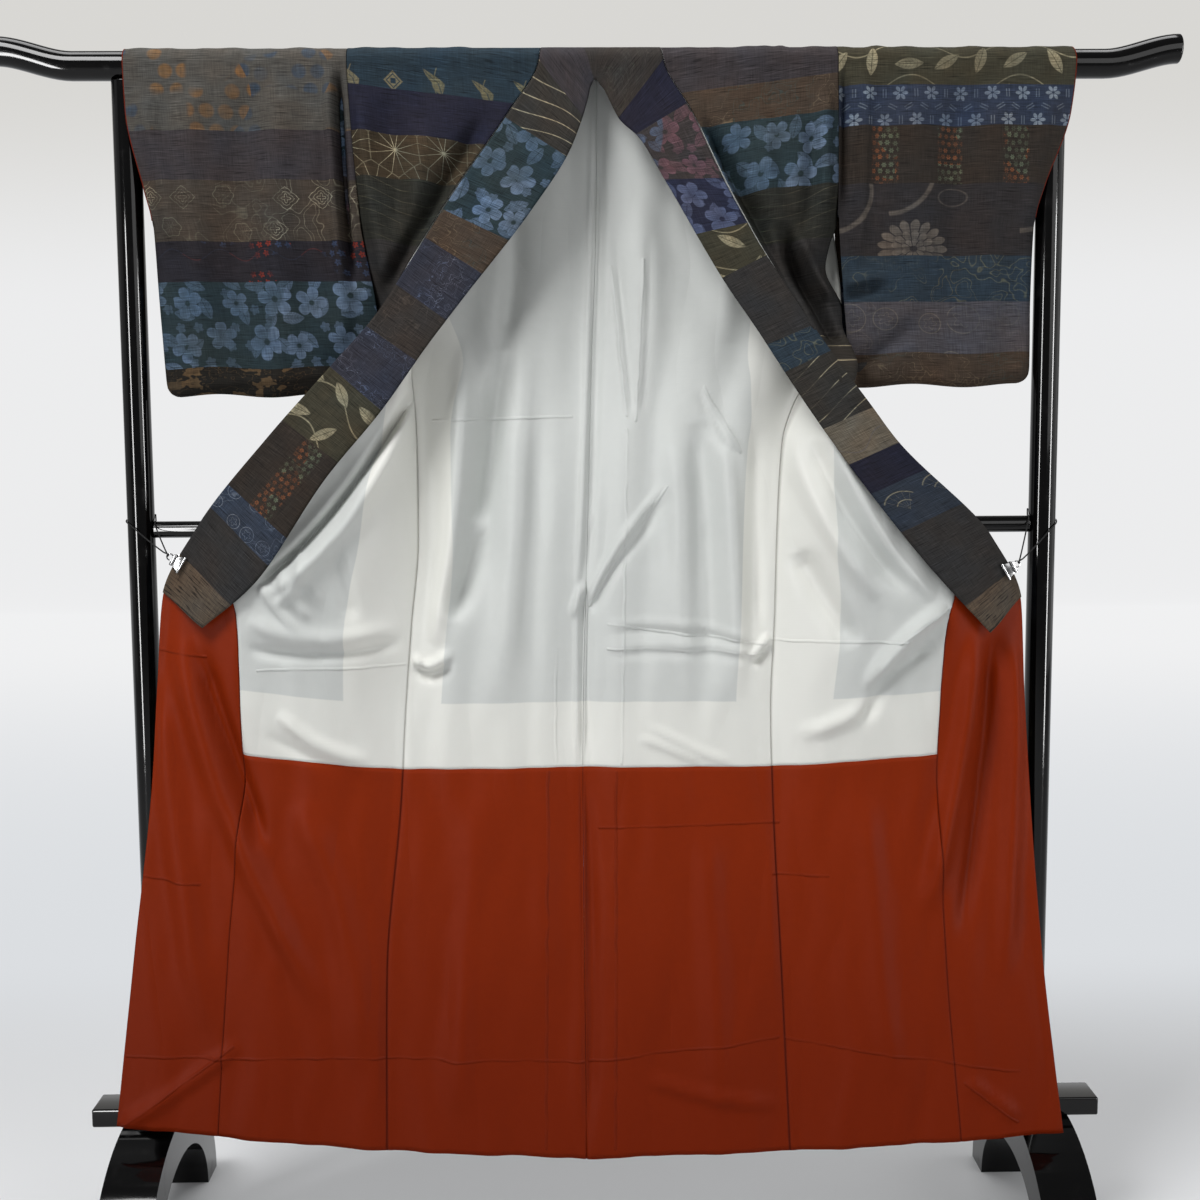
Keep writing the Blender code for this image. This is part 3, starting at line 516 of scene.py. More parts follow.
# Creases seen on the back: start x z, middle x z, end x z, half width, height
BACK_CREASES = [
    (280, 14080, 410, 12890, 480, 12000, 40, 16), (350, 14400, 490, 12890, 550, 12000, 60, -18),
    (720, 14170, 680, 13030, 590, 11930, 40, 18), (800, 14500, 770, 13030, 680, 12000, 60, -16),
    (-60, 9350, 250, 10020, 1030, 11070, 45, 24), (-20, 9220, 320, 9890, 1120, 10910, 80, -30),
    (30, 9660, 380, 10300, 850, 10870, 50, 14), (1560, 12390, 1780, 11870, 2060, 11480, 45, 26),
    (1480, 12360, 1690, 11800, 1980, 11400, 65, -22), (190, 9070, 1300, 9060, 2360, 8810, 60, 12),
    (190, 8930, 1300, 8930, 2360, 8690, 60, -16), (190, 8730, 1300, 8760, 2400, 8650, 50, 12),
    (190, 8610, 1300, 8640, 2400, 8530, 60, -14), (2210, 8560, 2360, 8760, 2500, 8860, 55, 50),
    (2240, 8500, 2400, 8620, 2520, 8720, 60, -36), (-120, 9630, -220, 9460, -310, 9170, 60, 34),
    (-2560, 8640, -2340, 8500, -2040, 8690, 60, 62),
    (-2520, 8510, -2320, 8380, -2050, 8510, 90, -44),
    (-1280, 12900, -1600, 10600, -2030, 9150, 170, -130),
    (-1800, 13000, -1960, 10600, -2260, 8800, 120, 70),
    (-820, 13600, -1040, 10900, -1260, 8000, 200, 60),
    (-1200, 15400, -1100, 14200, -1280, 12900, 150, -60),
    (40, 16400, -100, 12220, -240, 9600, 45, 24), (160, 16400, 40, 12220, -120, 9600, 85, -34),
    (-235, 9550, -260, 8500, -265, 7090, 35, 20), (-120, 9600, -110, 8500, -120, 7050, 110, -34),
    (1450, 11900, 1580, 10400, 1700, 8200, 160, -60),
    (1120, 11600, 1220, 10100, 1360, 7900, 140, 40),
    (1820, 11900, 1940, 10300, 2060, 8000, 130, 60),
    (2280, 11800, 2260, 10300, 2280, 9000, 120, -40), (630, 7450, 1100, 7270, 1480, 7080, 60, 24),
    (770, 7620, 1400, 7280, 1900, 7090, 60, 24), (-140, 6900, -60, 4200, -140, 1500, 110, -40),
    (-1700, 6600, -1900, 4200, -2000, 2000, 200, 48),
    (1500, 6400, 1680, 4000, 1800, 2000, 220, 48),
    (760, 2460, 1480, 2230, 2640, 2060, 90, 30),
    (-2400, 16200, -2000, 14800, -1900, 13400, 200, 60),
    (2300, 16200, 2000, 14800, 1900, 13000, 200, 60),
]
# Creases seen on the fronts, in the same columns
FRONT_CREASES = [
    (-2120, 12850, -3220, 10750, -4500, 9580, 120, 80),
    (-2320, 12620, -3380, 10950, -4600, 9720, 62, -160),
    (-2600, 12200, -3500, 11150, -4400, 10200, 200, -60),
    (-4760, 9250, -3950, 8970, -2840, 9050, 120, 36),
    (-4780, 8840, -3900, 8720, -2760, 8840, 80, -46),
    (-3950, 10030, -4090, 9680, -4380, 9450, 70, 40),
    (-4620, 9890, -4400, 9450, -4080, 9080, 60, 34),
    (-4300, 10030, -4180, 9600, -3910, 9250, 60, 34),
    (-4080, 10300, -3960, 9850, -3780, 9450, 70, 34),
    (-3550, 10200, -3450, 9700, -3350, 9200, 120, -44),
    (-4420, 7900, -3870, 7450, -3200, 7160, 100, 34),
    (-4600, 7600, -4000, 7240, -3500, 7090, 80, -20),
    (4870, 9300, 4360, 8960, 3800, 8220, 100, 90),
    (4520, 8900, 3860, 8000, 2890, 7500, 110, 44), (4700, 8840, 4140, 8340, 3720, 7700, 110, -80),
    (2870, 10100, 3220, 9450, 3620, 8800, 160, -80),
    (2720, 11780, 3060, 10750, 3900, 9450, 120, 66),
    (3000, 11800, 3500, 10600, 4300, 9550, 110, -70),
    (3300, 11600, 3900, 10400, 4700, 9450, 90, 50),
    (-5750, 9000, -5200, 6640, -4000, 3710, 170, 85),
    (-5480, 8800, -5080, 7400, -4700, 6000, 120, -80),
    (-6060, 8500, -5900, 6000, -5600, 3300, 180, 60),
    (-4200, 6600, -3600, 4800, -3400, 2600, 200, 50),
    (5300, 9000, 5120, 7120, 4700, 5000, 150, 85),
    (5560, 8900, 5480, 7000, 5200, 4700, 120, -80), (5900, 8800, 5920, 7000, 5800, 4000, 130, 60),
    (3800, 6600, 4000, 4600, 4300, 2400, 200, 50),
    (-5100, 3120, -6000, 2460, -6850, 1940, 100, 36),
    (5250, 2520, 5620, 2290, 6000, 1980, 90, 30),
    (-3120, 16400, -3000, 14800, -2620, 13300, 150, 70),
    (-2760, 16400, -2620, 15000, -2400, 13800, 150, -50),
    (-2200, 16000, -2400, 15000, -2620, 14000, 160, 45),
    (2320, 14700, 2820, 13550, 3450, 12250, 90, 120),
    (2580, 14600, 2980, 13680, 3450, 12700, 110, -160),
    (2840, 14400, 3060, 13950, 3300, 13600, 70, 90),
    (1500, 16000, 2220, 14700, 3000, 13450, 130, -150),
    (-1500, 16000, -2280, 14700, -3000, 13450, 120, -110),
    (2300, 16000, 2460, 15000, 2760, 14100, 140, 60),
    (3000, 16000, 3000, 15200, 2900, 14500, 120, -60),
    (3220, 16400, 3200, 15600, 3260, 14700, 100, 50),
]
BACK_WAVER = [(0.19, 0.9, 0.4, 0.0022), (0.083, 0.41, 2.1, 0.0011), (0.047, 0.23, 4.0, 0.0005)]
FRONT_WAVER = [(0.17, 0.8, 1.4, 0.0022), (0.077, 0.37, 3.1, 0.0011), (0.043, 0.21, 5.2, 0.0005)]


# Where the cloth lifts off the rail: x, half width, height
LIFTS = [(-0.428, 0.006, -0.0016), (-0.346, 0.005, -0.0022), (0.24, 0.01, 0.0022),
         (0.262, 0.007, 0.002), (0.392, 0.012, 0.0022), (0.37, 0.006, -0.0012)]


def ruffle(p, h):
    """Lift the cloth here and there where it turns over the rail."""
    x = p[..., 0]
    bumps = 0.0006 + 0.0008 * np.sin(x * 61.0 + 0.6) + 0.0006 * np.sin(x * 143.0 + 2.0)
    for place, wide, height in LIFTS:
        bumps = bumps + height * np.exp(-(((x - place) / wide) ** 2))
    away = held((np.abs(x) - 0.12) / 0.05) * held(1 - np.abs(h) / 0.06)
    lift = np.maximum(bumps, 0.0) * away
    axis = np.stack((np.zeros_like(x), p[..., 1], p[..., 2] - RAIL_Z), -1)
    axis /= np.maximum(np.linalg.norm(axis, axis=-1, keepdims=True), 1e-9)
    return p + axis * lift[..., None]


def seam_dip(distance):
    """Depth that a seam pulls the cloth in."""
    return 0.0013 * np.exp(-distance / 0.0035)


def front_point(side, t, u):
    """Points of the front at t below the shoulder, u of the way to its edge."""
    sx, sy, sh, fx, fy, fh, ax, ay, bx, by = at(FRONT[side], t)
    swell_a = 3 * u * (1 - u) ** 2
    swell_b = 3 * u * u * (1 - u)
    x = sx + (fx - sx) * u + swell_a * ax + swell_b * bx
    y = sy + (fy - sy) * u + swell_a * ay + swell_b * by
    h = np.where(t < 1e-6, 0.0, sh + (fh - sh) * u)
    p = wrap(x, h, y)
    wide = np.abs(fx - sx)
    free = held((t - 0.03) / 0.06)
    near_edge = held(wide * (1 - u) / 0.012) * held(wide * u / 0.012)
    seam = np.abs(u - at(OVERLAP_SEAM, t)[0]) * wide
    press = creases(FRONT_CREASES, p[..., 0], p[..., 2]) + waver(p[..., 0], p[..., 2], FRONT_WAVER)
    p[..., 1] -= free * (press * near_edge - seam_dip(wide * u) - seam_dip(seam))
    return ruffle(p, h)


def back_point(side, t, u):
    """Points of the back at t below the shoulder, u of the way to the centre."""
    which = SIDES.index(side)
    neck = at(NECKLINE, t)[which]
    edge = at(FRONT[side], 0.0)[0]
    yoke = wrap(edge + (neck - edge) * u, -t, 0.0)
    *edges, sy, cy, ch, a_left, a_right, b, c_left, c_right = at(BACK, t)
    sx = edges[which]
    folds = ((a_left, b, c_left), (a_right, b, c_right))[which]
    gx, gy, gh = at(FRONT[side], t)[:3]
    sewn = t >= SIDE_SEAM - 1e-6
    sy = np.where(sewn, gy + at(SIDE_STEP, t)[0] - 2 * WRAP_R, sy)
    sh = np.where(sewn, gh, t)
    sx = np.where(sewn, gx, sx)
    cx = at(CENTRE, t)[0]
    x = sx + (cx - sx) * u
    y = sy + (cy - sy) * u
    for height, (middle, spread) in zip(folds, BACK_FOLDS):
        d = np.minimum(np.abs(u - middle) / spread, 1.0)
        y = y - height * np.cos(d * math.pi / 2) ** 2
    p = wrap(x, -(sh + (ch - sh) * u), y)
    wide = np.abs(cx - sx)
    free = held((t - 0.05) / 0.06)
    press = creases(BACK_CREASES, p[..., 0], p[..., 2]) + waver(p[..., 0], p[..., 2], BACK_WAVER)
    side_hold = held(wide * u / 0.012)
    middle_hold = held(wide * (1 - u) / 0.0015)
    dip = seam_dip(wide * u) + seam_dip(wide * (1 - u))
    p[..., 1] -= free * (press * side_hold * middle_hold - dip)
    rail = -MID_R - 0.003
    over = p[..., 1] - rail
    near = np.exp(-(((p[..., 2] - MID_Z) / 0.022) ** 2))
    p[..., 1] -= np.where(over > 0, over, 0.0) * near
    return ruffle(np.where((t < NECK_DROP)[..., None], yoke, p), t)


def columns(count, crowd=0.6):
    """Shares from 0 to 1, closer together near both ends."""
    f = np.linspace(0.0, 1.0, count + 1)
    return f - crowd * np.sin(2 * math.pi * f) / (2 * math.pi)


def made(name, verts, faces, material, places=None, turned=False):
    """A new piece from its mesh; places are its cut in metres, a pair to each vertex."""
    mesh = bpy.data.meshes.new(name)
    mesh.from_pydata(verts, [], faces)
    if turned:
        work = bmesh.new()
        work.from_mesh(mesh)
        bmesh.ops.recalc_face_normals(work, faces=work.faces)
        work.to_mesh(mesh)
        work.free()
    if places is not None:
        corner = np.zeros(len(mesh.loops), np.int32)
        mesh.loops.foreach_get("vertex_index", corner)
        layer = mesh.uv_layers.new(name="cut")
        layer.data.foreach_set("uv", places[corner].astype(np.float32).ravel())
    mesh.shade_smooth()
    mesh.materials.append(material)
    node = bpy.data.objects.new(name, mesh)
    bpy.context.collection.objects.link(node)
    return node


def cut(name, points, across, along, low, high, side, material, replaced):
    """A cut piece: a wall between two offsets of a grid, with its cut mapped in metres."""
    rows, cols = points.shape[:2]
    down = np.gradient(points, axis=0)
    over = np.gradient(points, axis=1)
    normal = np.cross(over, down)
    normal /= np.linalg.norm(normal, axis=-1, keepdims=True)
    layers = [points + normal * (offset * side) for offset in (low, high)]
    verts = np.concatenate([layer.reshape(-1, 3) for layer in layers])
    size = rows * cols
    a = (np.arange(rows - 1)[:, None] * cols + np.arange(cols - 1)[None, :]).ravel()
    upper = np.stack((a, a + 1, a + cols + 1, a + cols), 1)
    lower = upper[:, ::-1]
    rim = list(range(cols)) + [i * cols + cols - 1 for i in range(1, rows)]
    rim += [(rows - 1) * cols + j for j in range(cols - 2, -1, -1)]
    rim += [i * cols for i in range(rows - 2, 0, -1)]
    rim = np.array(rim)
    turn = np.roll(rim, -1)
    edge = np.stack((turn + size, rim + size, rim, turn), 1)
    faces = np.concatenate((lower, upper + size, edge))
    if side < 0:
        faces = faces[:, ::-1]
    flat = np.stack(np.broadcast_arrays(across, along), -1).reshape(-1, 2)
    node = made(name, verts.tolist(), faces.tolist(), material, np.concatenate((flat, flat)))
    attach(node, "root")
    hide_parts(*replaced)
    return node


def spaced(start, stop, step):
    return np.linspace(start, stop, max(2, int(round(abs(stop - start) / step)) + 1))


# Each panel is laid out once, and its outer cloth and linings share the layout,
# so that they crease together. Rows run from the front hem over the shoulder to
# the back hem and are closest above the waist; columns are closest at the seams
# and beside the middle of the back.
COLS = 76
OVERLAP_COLS = 30
fine = np.linspace(0.0, 1.0, COLS + 1)
SHARES = fine + 0.145 * np.sin(math.pi * fine) ** 2 - 0.055 * np.sin(2 * math.pi * fine)
SHARES = (SHARES - SHARES[0]) / (SHARES[-1] - SHARES[0])
front_t = np.concatenate((spaced(HEM, SKIRT_LINING, 0.008), spaced(SKIRT_LINING, 0.0, 0.0046)[1:]))
back_t = np.concatenate((spaced(0.0, NECK_DROP, 0.0025)[1:],
                         spaced(NECK_DROP, SKIRT_LINING, 0.0046)[1:],
                         spaced(SKIRT_LINING, HEM, 0.008)[1:]))
WAIST_FRONT = int(np.argmin(np.abs(front_t - SKIRT_LINING)))
WAIST_BACK = len(front_t) + int(np.argmin(np.abs(back_t - SKIRT_LINING)))
panels = {}
overlaps = {}
for name in SIDE:
    t = front_t[:, None] + np.zeros((1, COLS + 1))
    seam = at(OVERLAP_SEAM, t)[0]
    wide = np.abs(at(FRONT[name], t)[3] - at(FRONT[name], t)[0])
    u = seam * SHARES[None, :]
    back = back_t[:, None] + np.zeros((1, COLS + 1))
    v = SHARES[None, :] + np.zeros_like(back)
    edge = at(BACK, np.maximum(back, NECK_DROP))[SIDES.index(name)]
    half = np.abs(at(CENTRE, back)[0] - edge)
    slope = 0.13 * u * wide * held(t / 0.05) * held((0.6 - t) / 0.2)
    panels[name] = (np.concatenate((front_point(name, t, u), back_point(name, back, v))),
                    np.concatenate((u * wide, v * half)), np.concatenate((t - slope, -back)))
    t = spaced(HEM, OVERLAP_TOP, 0.0076)[:, None] + np.zeros((1, OVERLAP_COLS + 1))
    seam = at(OVERLAP_SEAM, t)[0]
    wide = np.abs(at(FRONT[name], t)[3] - at(FRONT[name], t)[0])
    u = seam + (1 - seam) * columns(OVERLAP_COLS)[None, :]
    overlaps[name] = (front_point(name, t, u), (u - seam) * wide, t)


# Weave shared by both linings: fine warp and weft, with a little slub
def silk_weave(paint, u, v, slub):
    fine = (u * 5200.0).cos() * 0.5 + (v * 4300.0).cos() * 0.5
    streak = paint.noise(paint.vector(u * 30.0, v * 900.0), 1.0, 1.0)
    return fine * 0.25 + streak * slub


# Lines pressed into the white lining: x z of each end
WHITE_PRESSED = [
    (0.027, 1.408, 0.047, 1.2), (0.073, 1.417, 0.06, 1.193), (-0.006, 0.933, 0.103, 1.1),
    (0.007, 0.96, 0.085, 1.079), (0.156, 1.239, 0.206, 1.148), (-0.224, 1.194, -0.03, 1.199),
    (0.019, 0.906, 0.238, 0.879), (0.019, 0.872, 0.24, 0.864), (-0.465, 0.853, -0.268, 0.852),
    (0.251, 0.883, 0.43, 0.886), (0.487, 0.93, 0.42, 0.885), (-0.055, 0.87, -0.056, 0.703),
    (0.048, 1.18, 0.038, 0.709),
]
white = Paint("white_silk_lining", Specular_IOR_Level=0.22, IOR=1.45)
cut_map = white.node("UVMap", {"uv_map": "cut"}, ())
wu, wv, _ = white.parts(cut_map)
front_side = wv > 0.0
wx, _, _ = white.parts(white.place())
allowance = 0.05 + front_side * 0.026
flare = abs(wv).ease(0.54, 0.37) * (0.044 + (wx > 0.0) * 0.034)
allowance = allowance + (1.0 - front_side) * flare
doubled = (wu - allowance).ease(0.001, -0.001)
hem_band = (abs(wv) - (SKIRT_LINING - 0.094)).ease(-0.0012, 0.0012)
warm = doubled.top(hem_band)
cloudy = white.noise(cut_map, 5.0, 2.0, 0.55)
mottle = white.noise(cut_map, 60.0, 2.0, 0.6)
plain = white.mix(cloudy, (0.57, 0.592, 0.575), (0.64, 0.658, 0.635))
creamy = white.mix(cloudy, (0.745, 0.748, 0.698), (0.805, 0.806, 0.76))
tone = white.mix(warm, plain, creamy)
lie = white.pressed(WHITE_PRESSED, 0.003, 0.001)
# Painted shade: within about 2 mm of each lining panel's side edge, down the armhole and the side
# seam, the colour is darkened.
side_edge_shade = (wu - 0.0018).ease(0.0012, -0.0012) * 0.6
neck_shade = abs(wv).ease(0.54, 0.34) * abs(wv).ease(0.12, 0.26) * 0.3
tone = white.mix(neck_shade, tone, (0.33, 0.34, 0.325))
# Painted shade: the front lining's edge at the armhole, 4.5 mm wide and from 4 cm to 40 cm below
# the shoulder, is painted near black.
armhole_shade = (wu - 0.0045).ease(0.0015, -0.0015) * wv.ease(0.0, 0.04) * wv.ease(0.42, 0.4)
tone = white.mix(armhole_shade, tone, (0.02, 0.02, 0.018))
white.feed(
    Base_Color=white.mix(
        mottle * 0.1, white.mix(side_edge_shade, tone, (0.36, 0.35, 0.32)), (0.9, 0.9, 0.88)),
    Roughness=0.44 + mottle * 0.14 - warm * 0.03,
    Normal=white.bump(white.crumple() + silk_weave(white, wu, wv, 0.9) * 0.0001, 1.0, 1.0, lie),
)
LINE_LOW, LINE_HIGH = -0.0011, -0.0002
for name, sign in SIDE.items():
    points, across, along = (part[WAIST_FRONT:WAIST_BACK + 1] for part in panels[name])
    lining = cut("lining_body_" + name, points, across, along, LINE_LOW, LINE_HIGH, -sign,
                 white.material, ["lining_white_" + name])

# ---- Skirt lining ----
# Rust red plain-weave silk, sewn to the white lining at the waist and to the
# outer cloth at hem and front edges: two backs, two fronts and two overlaps.
# Lines pressed into it: x z of each end
RED_PRESSED = [
    (-0.67, 0.297, -0.02, 0.27), (-0.01, 0.27, 0.262, 0.305), (0.272, 0.303, 0.6, 0.266),
    (-0.52, 0.308, -0.69, 0.186), (0.525, 0.248, 0.6, 0.194), (0.006, 0.614, 0.262, 0.622),
    (-0.067, 0.696, -0.075, 0.142), (0.03, 0.695, 0.026, 0.141), (0.255, 0.547, 0.33, 0.545),
    (-0.662, 0.56, -0.56, 0.546), (-0.618, 0.881, -0.54, 0.871),
]
red = Paint("red_silk_lining", Specular_IOR_Level=0.06, IOR=1.4)
red_map = red.node("UVMap", {"uv_map": "cut"}, ())
ru, rv, _ = red.parts(red_map)
dye = red.noise(red_map, 6.0, 2.0, 0.55)
fleck = red.noise(red_map, 90.0, 2.0, 0.6)
# Painted shade: the red grows darker towards the hem, where less light falls.
hem_shade = abs(rv).ease(SKIRT_LINING, HEM)
rust = red.mix(dye, (0.222, 0.02, 0.0014), (0.262, 0.0245, 0.0022))
rust = red.mix(hem_shade * 0.7, rust, (0.155, 0.0125, 0.0008))
# Painted shade: within about 2 mm of each red panel's side seam and overlap seam the colour is
# darkened.
red_seam_shade = (ru - 0.0018).ease(0.0012, -0.0012)
lie = red.pressed(RED_PRESSED, 0.003, 0.001)
# The colour darkens towards a deep red with three masks: painted shade along the seams, random
# flecks, and painted shade along the pressed lines.
red.feed(
    Base_Color=red.mix((red_seam_shade * 0.75 + fleck * 0.12 + red.lines * 0.3).low(0.8), rust,
                       (0.08, 0.007, 0.002)),
    Roughness=0.48 + fleck * 0.14,
    Normal=red.bump(red.crumple() + silk_weave(red, ru, rv, 0.8) * 0.0001, 1.0, 1.0, lie),
)
for name, sign in SIDE.items():
    for title, laid, rows, flat, area in (
        ("front", panels[name], slice(0, WAIST_FRONT + 1), (0.25, 0.56), 0.13),
        ("back", panels[name], slice(WAIST_BACK, None), (0.3, 0.56), 0.155),
        ("overlap", overlaps[name], slice(None), (0.15, 1.15), 0.13),
    ):
        points, across, along = (part[rows] for part in laid)
        piece = cut("lining_skirt_%s_%s" % (title, name), points, across, along, LINE_LOW,
                    LINE_HIGH, -sign, red.material,
                    ["lining_%s_red_%s" % (title, name)])

# ---- Outer body and overlaps ----
# Slubbed kimono silk pieced from many narrow bands of older cloth, each with its
# own ground and pattern. A body panel runs from the front hem over the shoulder
# to the back hem, and the overlap is a narrower panel sewn to its front edge.
# Cloths: pattern, size of its repeat in millimetres, share of its second colour; then, in
# thousandths, the colour of the ground and the pattern's two colours
CLOTHS = {
    "grey": ("spots", 26, 0.55, (73, 68, 60), (200, 95, 26), (26, 50, 85)),
    "plum": ("plain", 30, 0.0, (42, 36, 39), (100, 80, 80), (100, 80, 80)),
    "violet": ("plain", 30, 0.0, (14.5, 14.5, 28), (100, 80, 80), (100, 80, 80)),
    "brown": ("drawn", 47, 0.4, (58, 46, 36), (320, 290, 215), (130, 120, 90)),
    "umber": ("scroll", 30, 0.4, (62, 43, 30), (130, 95, 60), (50, 60, 50)),
    "night": ("tiny", 13, 0.5, (20, 18, 23), (200, 28, 18), (35, 50, 95)),
    "teal": ("bloom", 56, 0.5, (21, 36, 42), (120, 172, 255), (78, 118, 170)),
    "lake": ("sprig", 60, 0.4, (17, 31, 44), (170, 145, 85), (130, 120, 70)),
    "bark": ("patch", 40, 0.4, (16, 14, 11), (135, 85, 42), (90, 62, 35)),
    "hemp": ("rays", 66, 0.45, (48, 35, 21), (480, 430, 290), (260, 260, 190)),
    "moss": ("arcs", 62, 0.5, (25, 25, 20), (70, 66, 45), (45, 50, 35)),
    "olive": ("leaf", 50, 0.35, (46, 42, 27), (290, 260, 170), (180, 160, 105)),
    "blue": ("hex", 42, 0.4, (29, 39, 66), (190, 225, 270), (130, 160, 210)),
    "sky": ("scroll", 40, 0.4, (25, 40, 56), (110, 115, 85), (120, 105, 60)),
    "rose": ("strip", 9.5, 0.5, (31, 24, 19), (190, 70, 30), (120, 140, 90)),
    "slate": ("mum", 260, 0.4, (28, 25, 26), (140, 118, 98), (110, 95, 80)),
    "ash": ("rings", 58, 0.5, (74, 69, 78), (150, 135, 115), (95, 90, 85)),
    "tan": ("tiny", 18, 0.4, (140, 118, 88), (75, 90, 150), (160, 50, 35)),
    "ink": ("scroll", 17, 0.4, (29, 31, 45), (120, 135, 190), (80, 100, 160)),
    "coal": ("plain", 30, 0.0, (31, 29, 28), (60, 50, 50), (60, 50, 50)),
    "soot": ("scroll", 30, 0.4, (34, 29, 26), (60, 50, 42), (50, 50, 40)),
    "wave": ("arcs", 85, 0.4, (34, 31, 27), (330, 290, 200), (200, 180, 130)),
    "ringed": ("rings", 34, 0.4, (32, 43, 66), (210, 235, 280), (130, 160, 220)),
    "pink": ("bloom", 50, 0.6, (40, 34, 34), (125, 66, 80), (75, 92, 135)),
    "indigo": ("bloom", 50, 0.4, (19, 22, 45), (85, 105, 185), (60, 80, 150)),
    "fan": ("fans", 62, 0.3, (27, 36, 52), (240, 220, 160), (120, 120, 90)),
    "end": ("dash", 22, 0.5, (94, 72, 52), (22, 18, 15), (35, 28, 22)),
}
KINDS = ("plain", "spots", "drawn", "scroll", "tiny", "bloom", "sprig", "patch", "rays", "arcs",
         "leaf", "hex", "strip", "mum", "rings", "fans", "dash")


CODE_KINDS = 20.0
CODE_SIZE = 0.3
QUARTER_TURN = 1.5708
ROOT_3 = 1.7320508


class Cloth(Paint):
    """Pieced silk. Every pattern is drawn on the map of the cut, in repeats."""

    def __init__(self, name, bands, first, last):
        super().__init__(name, Specular_IOR_Level=0.1, IOR=1.42)
        self.map = self.node("UVMap", {"uv_map": "cut"}, ())
        u, v, _ = self.parts(self.map)
        place = (v - first) / (last - first)
        ground, ink, second, code, shift = (
            self.node("ValToRGB", {"steps": True, "stops": stops}, (place,))
            for stops in self.steps(bands, first, last))
        kind, size, share = self.parts(code)
        over, down, _ = self.parts(shift)
        size = size * CODE_SIZE
        self.p = u / size + over + 7.0
        self.q = v / size + down + 60.0
        self.cells = self.vector(self.p, self.q)
        self.curls = None
        masks = None
        used = {CLOTHS[band[1]][0] for band in bands}
        for number, title in enumerate(KINDS):
            if title == "plain" or title not in used:
                continue
            chosen = self.node(
                "Math", {"operation": "COMPARE"}, (kind * CODE_KINDS, float(number), 0.3))
            mask = getattr(self, title)() * chosen
            masks = mask if masks is None else masks + mask
        weft = self.noise(self.vector(u * 36.0, v * 900.0), 1.0, 2.0, 0.66)
        yarn = self.noise(self.vector(u * 28.0 + 9.0, v * 780.0), 1.0, 1.0)
        slub, nep = yarn.ease(0.6, 0.68), yarn.ease(0.39, 0.31)
        warp = self.noise(self.vector(u * 820.0, v * 34.0), 1.0, 1.0, 0.6)
        cloud = self.noise(self.map, 13.0, 2.0, 0.6)
        blot = self.noise(self.map, 95.0, 1.0, 0.6)
        other = self.noise(self.cells, 0.23, 0.0)
        chosen = (other - (0.66 - share * 0.28)).ease(0.0, 0.01)
        inked = self.mix(chosen, ink, second)
        colour = self.mix((masks * (0.45 + blot * 0.95)).low(1.0), ground, inked)
        hue = self.node("ValToRGB", {"stops": [
            (0.0, (1.25, 0.98, 0.78)), (0.5, (1.0, 1.0, 1.0)), (1.0, (0.78, 1.0, 1.25)),
        ]}, (cloud,))
        colour = self.mix(1.0, colour, hue, "MULTIPLY")
        level = (weft * 1.3 + warp * 0.7 - 0.15) * (1.0 - slub * 0.5) * (1.0 + nep * 0.45)
        colour = self.mix(1.0, colour, self.grey(level), "MULTIPLY")
        self.feed(
            Base_Color=colour,
            Roughness=0.7 + weft * 0.18,
            Normal=self.bump(weft * 1.4 + warp * 0.5, 0.35, 0.0006),
        )

    @staticmethod
    def steps(bands, first, last):
        """Stops of the five ramps that give each band its cloth."""
        tables = [[], [], [], [], []]
        for band in bands:
            start, cloth = band[:2]
            over, down = band[2:] if len(band) > 2 else (0.0, 0.0)
            kind, size, share, *colours = CLOTHS[cloth]
            size = size / 1000
            ground, ink, second = (tuple(part / 1000 for part in c) for c in colours)
            place = (start - first) / (last - first)
            code = (KINDS.index(kind) / CODE_KINDS, size / CODE_SIZE, share)
            shift = (over, (down - start / size) % 1.0, 0.0)
            for stops, value in zip(tables, (ground, ink, second, code, shift)):
                stops.append((place, value))
        return tables

    def cell(self, lean=0.5, fold=1.0, drift=0.0):
        """Place in a staggered grid of repeats, -0.5 to 0.5, and the cell's own numbers."""
        row = (self.q * fold).floor()
        across = self.p * fold + row * lean
        column = across.floor()
        x, y = across - column - 0.5, self.q * fold - row - 0.5
        seed = self.vector(column, row)
        pick = self.node("TexWhiteNoise", {"noise_dimensions": "2D"}, {"Vector": seed}, "Color")
        one, two, three = self.parts(pick)
        if drift:
            x, y = x + (one - 0.5) * drift, y + (two - 0.5) * drift
        return x, y, one, two, three

    def polar(self, x, y):
        return (x * x + y * y).root(), x.math("ARCTAN2", y, x)

    def line(self, distance, width, soft=0.012):
        return (abs(distance) - width).ease(soft, -soft)

    def blades(self, x, y, angle, reach=7.5, half=0.16):
        """A pointed leaf at an angle, darker along its midrib and veins."""
        if isinstance(angle, Value):
            c, s = angle.cos(), (angle - QUARTER_TURN).cos()
        else:
            c, s = math.cos(angle), math.sin(angle)
        lx, ly = x * c + y * s, y * c - x * s
        body = (abs(ly) - half * (1.0 - lx * lx * reach)).ease(0.014, -0.014)
        rib = (abs(ly) - 0.012).ease(-0.01, 0.01)
        veins = ((lx * 62.0 + abs(ly) * 50.0).cos() + 0.7).ease(-0.3, 0.3)
        return body * (0.3 + 0.7 * rib) * (0.7 + 0.3 * veins)

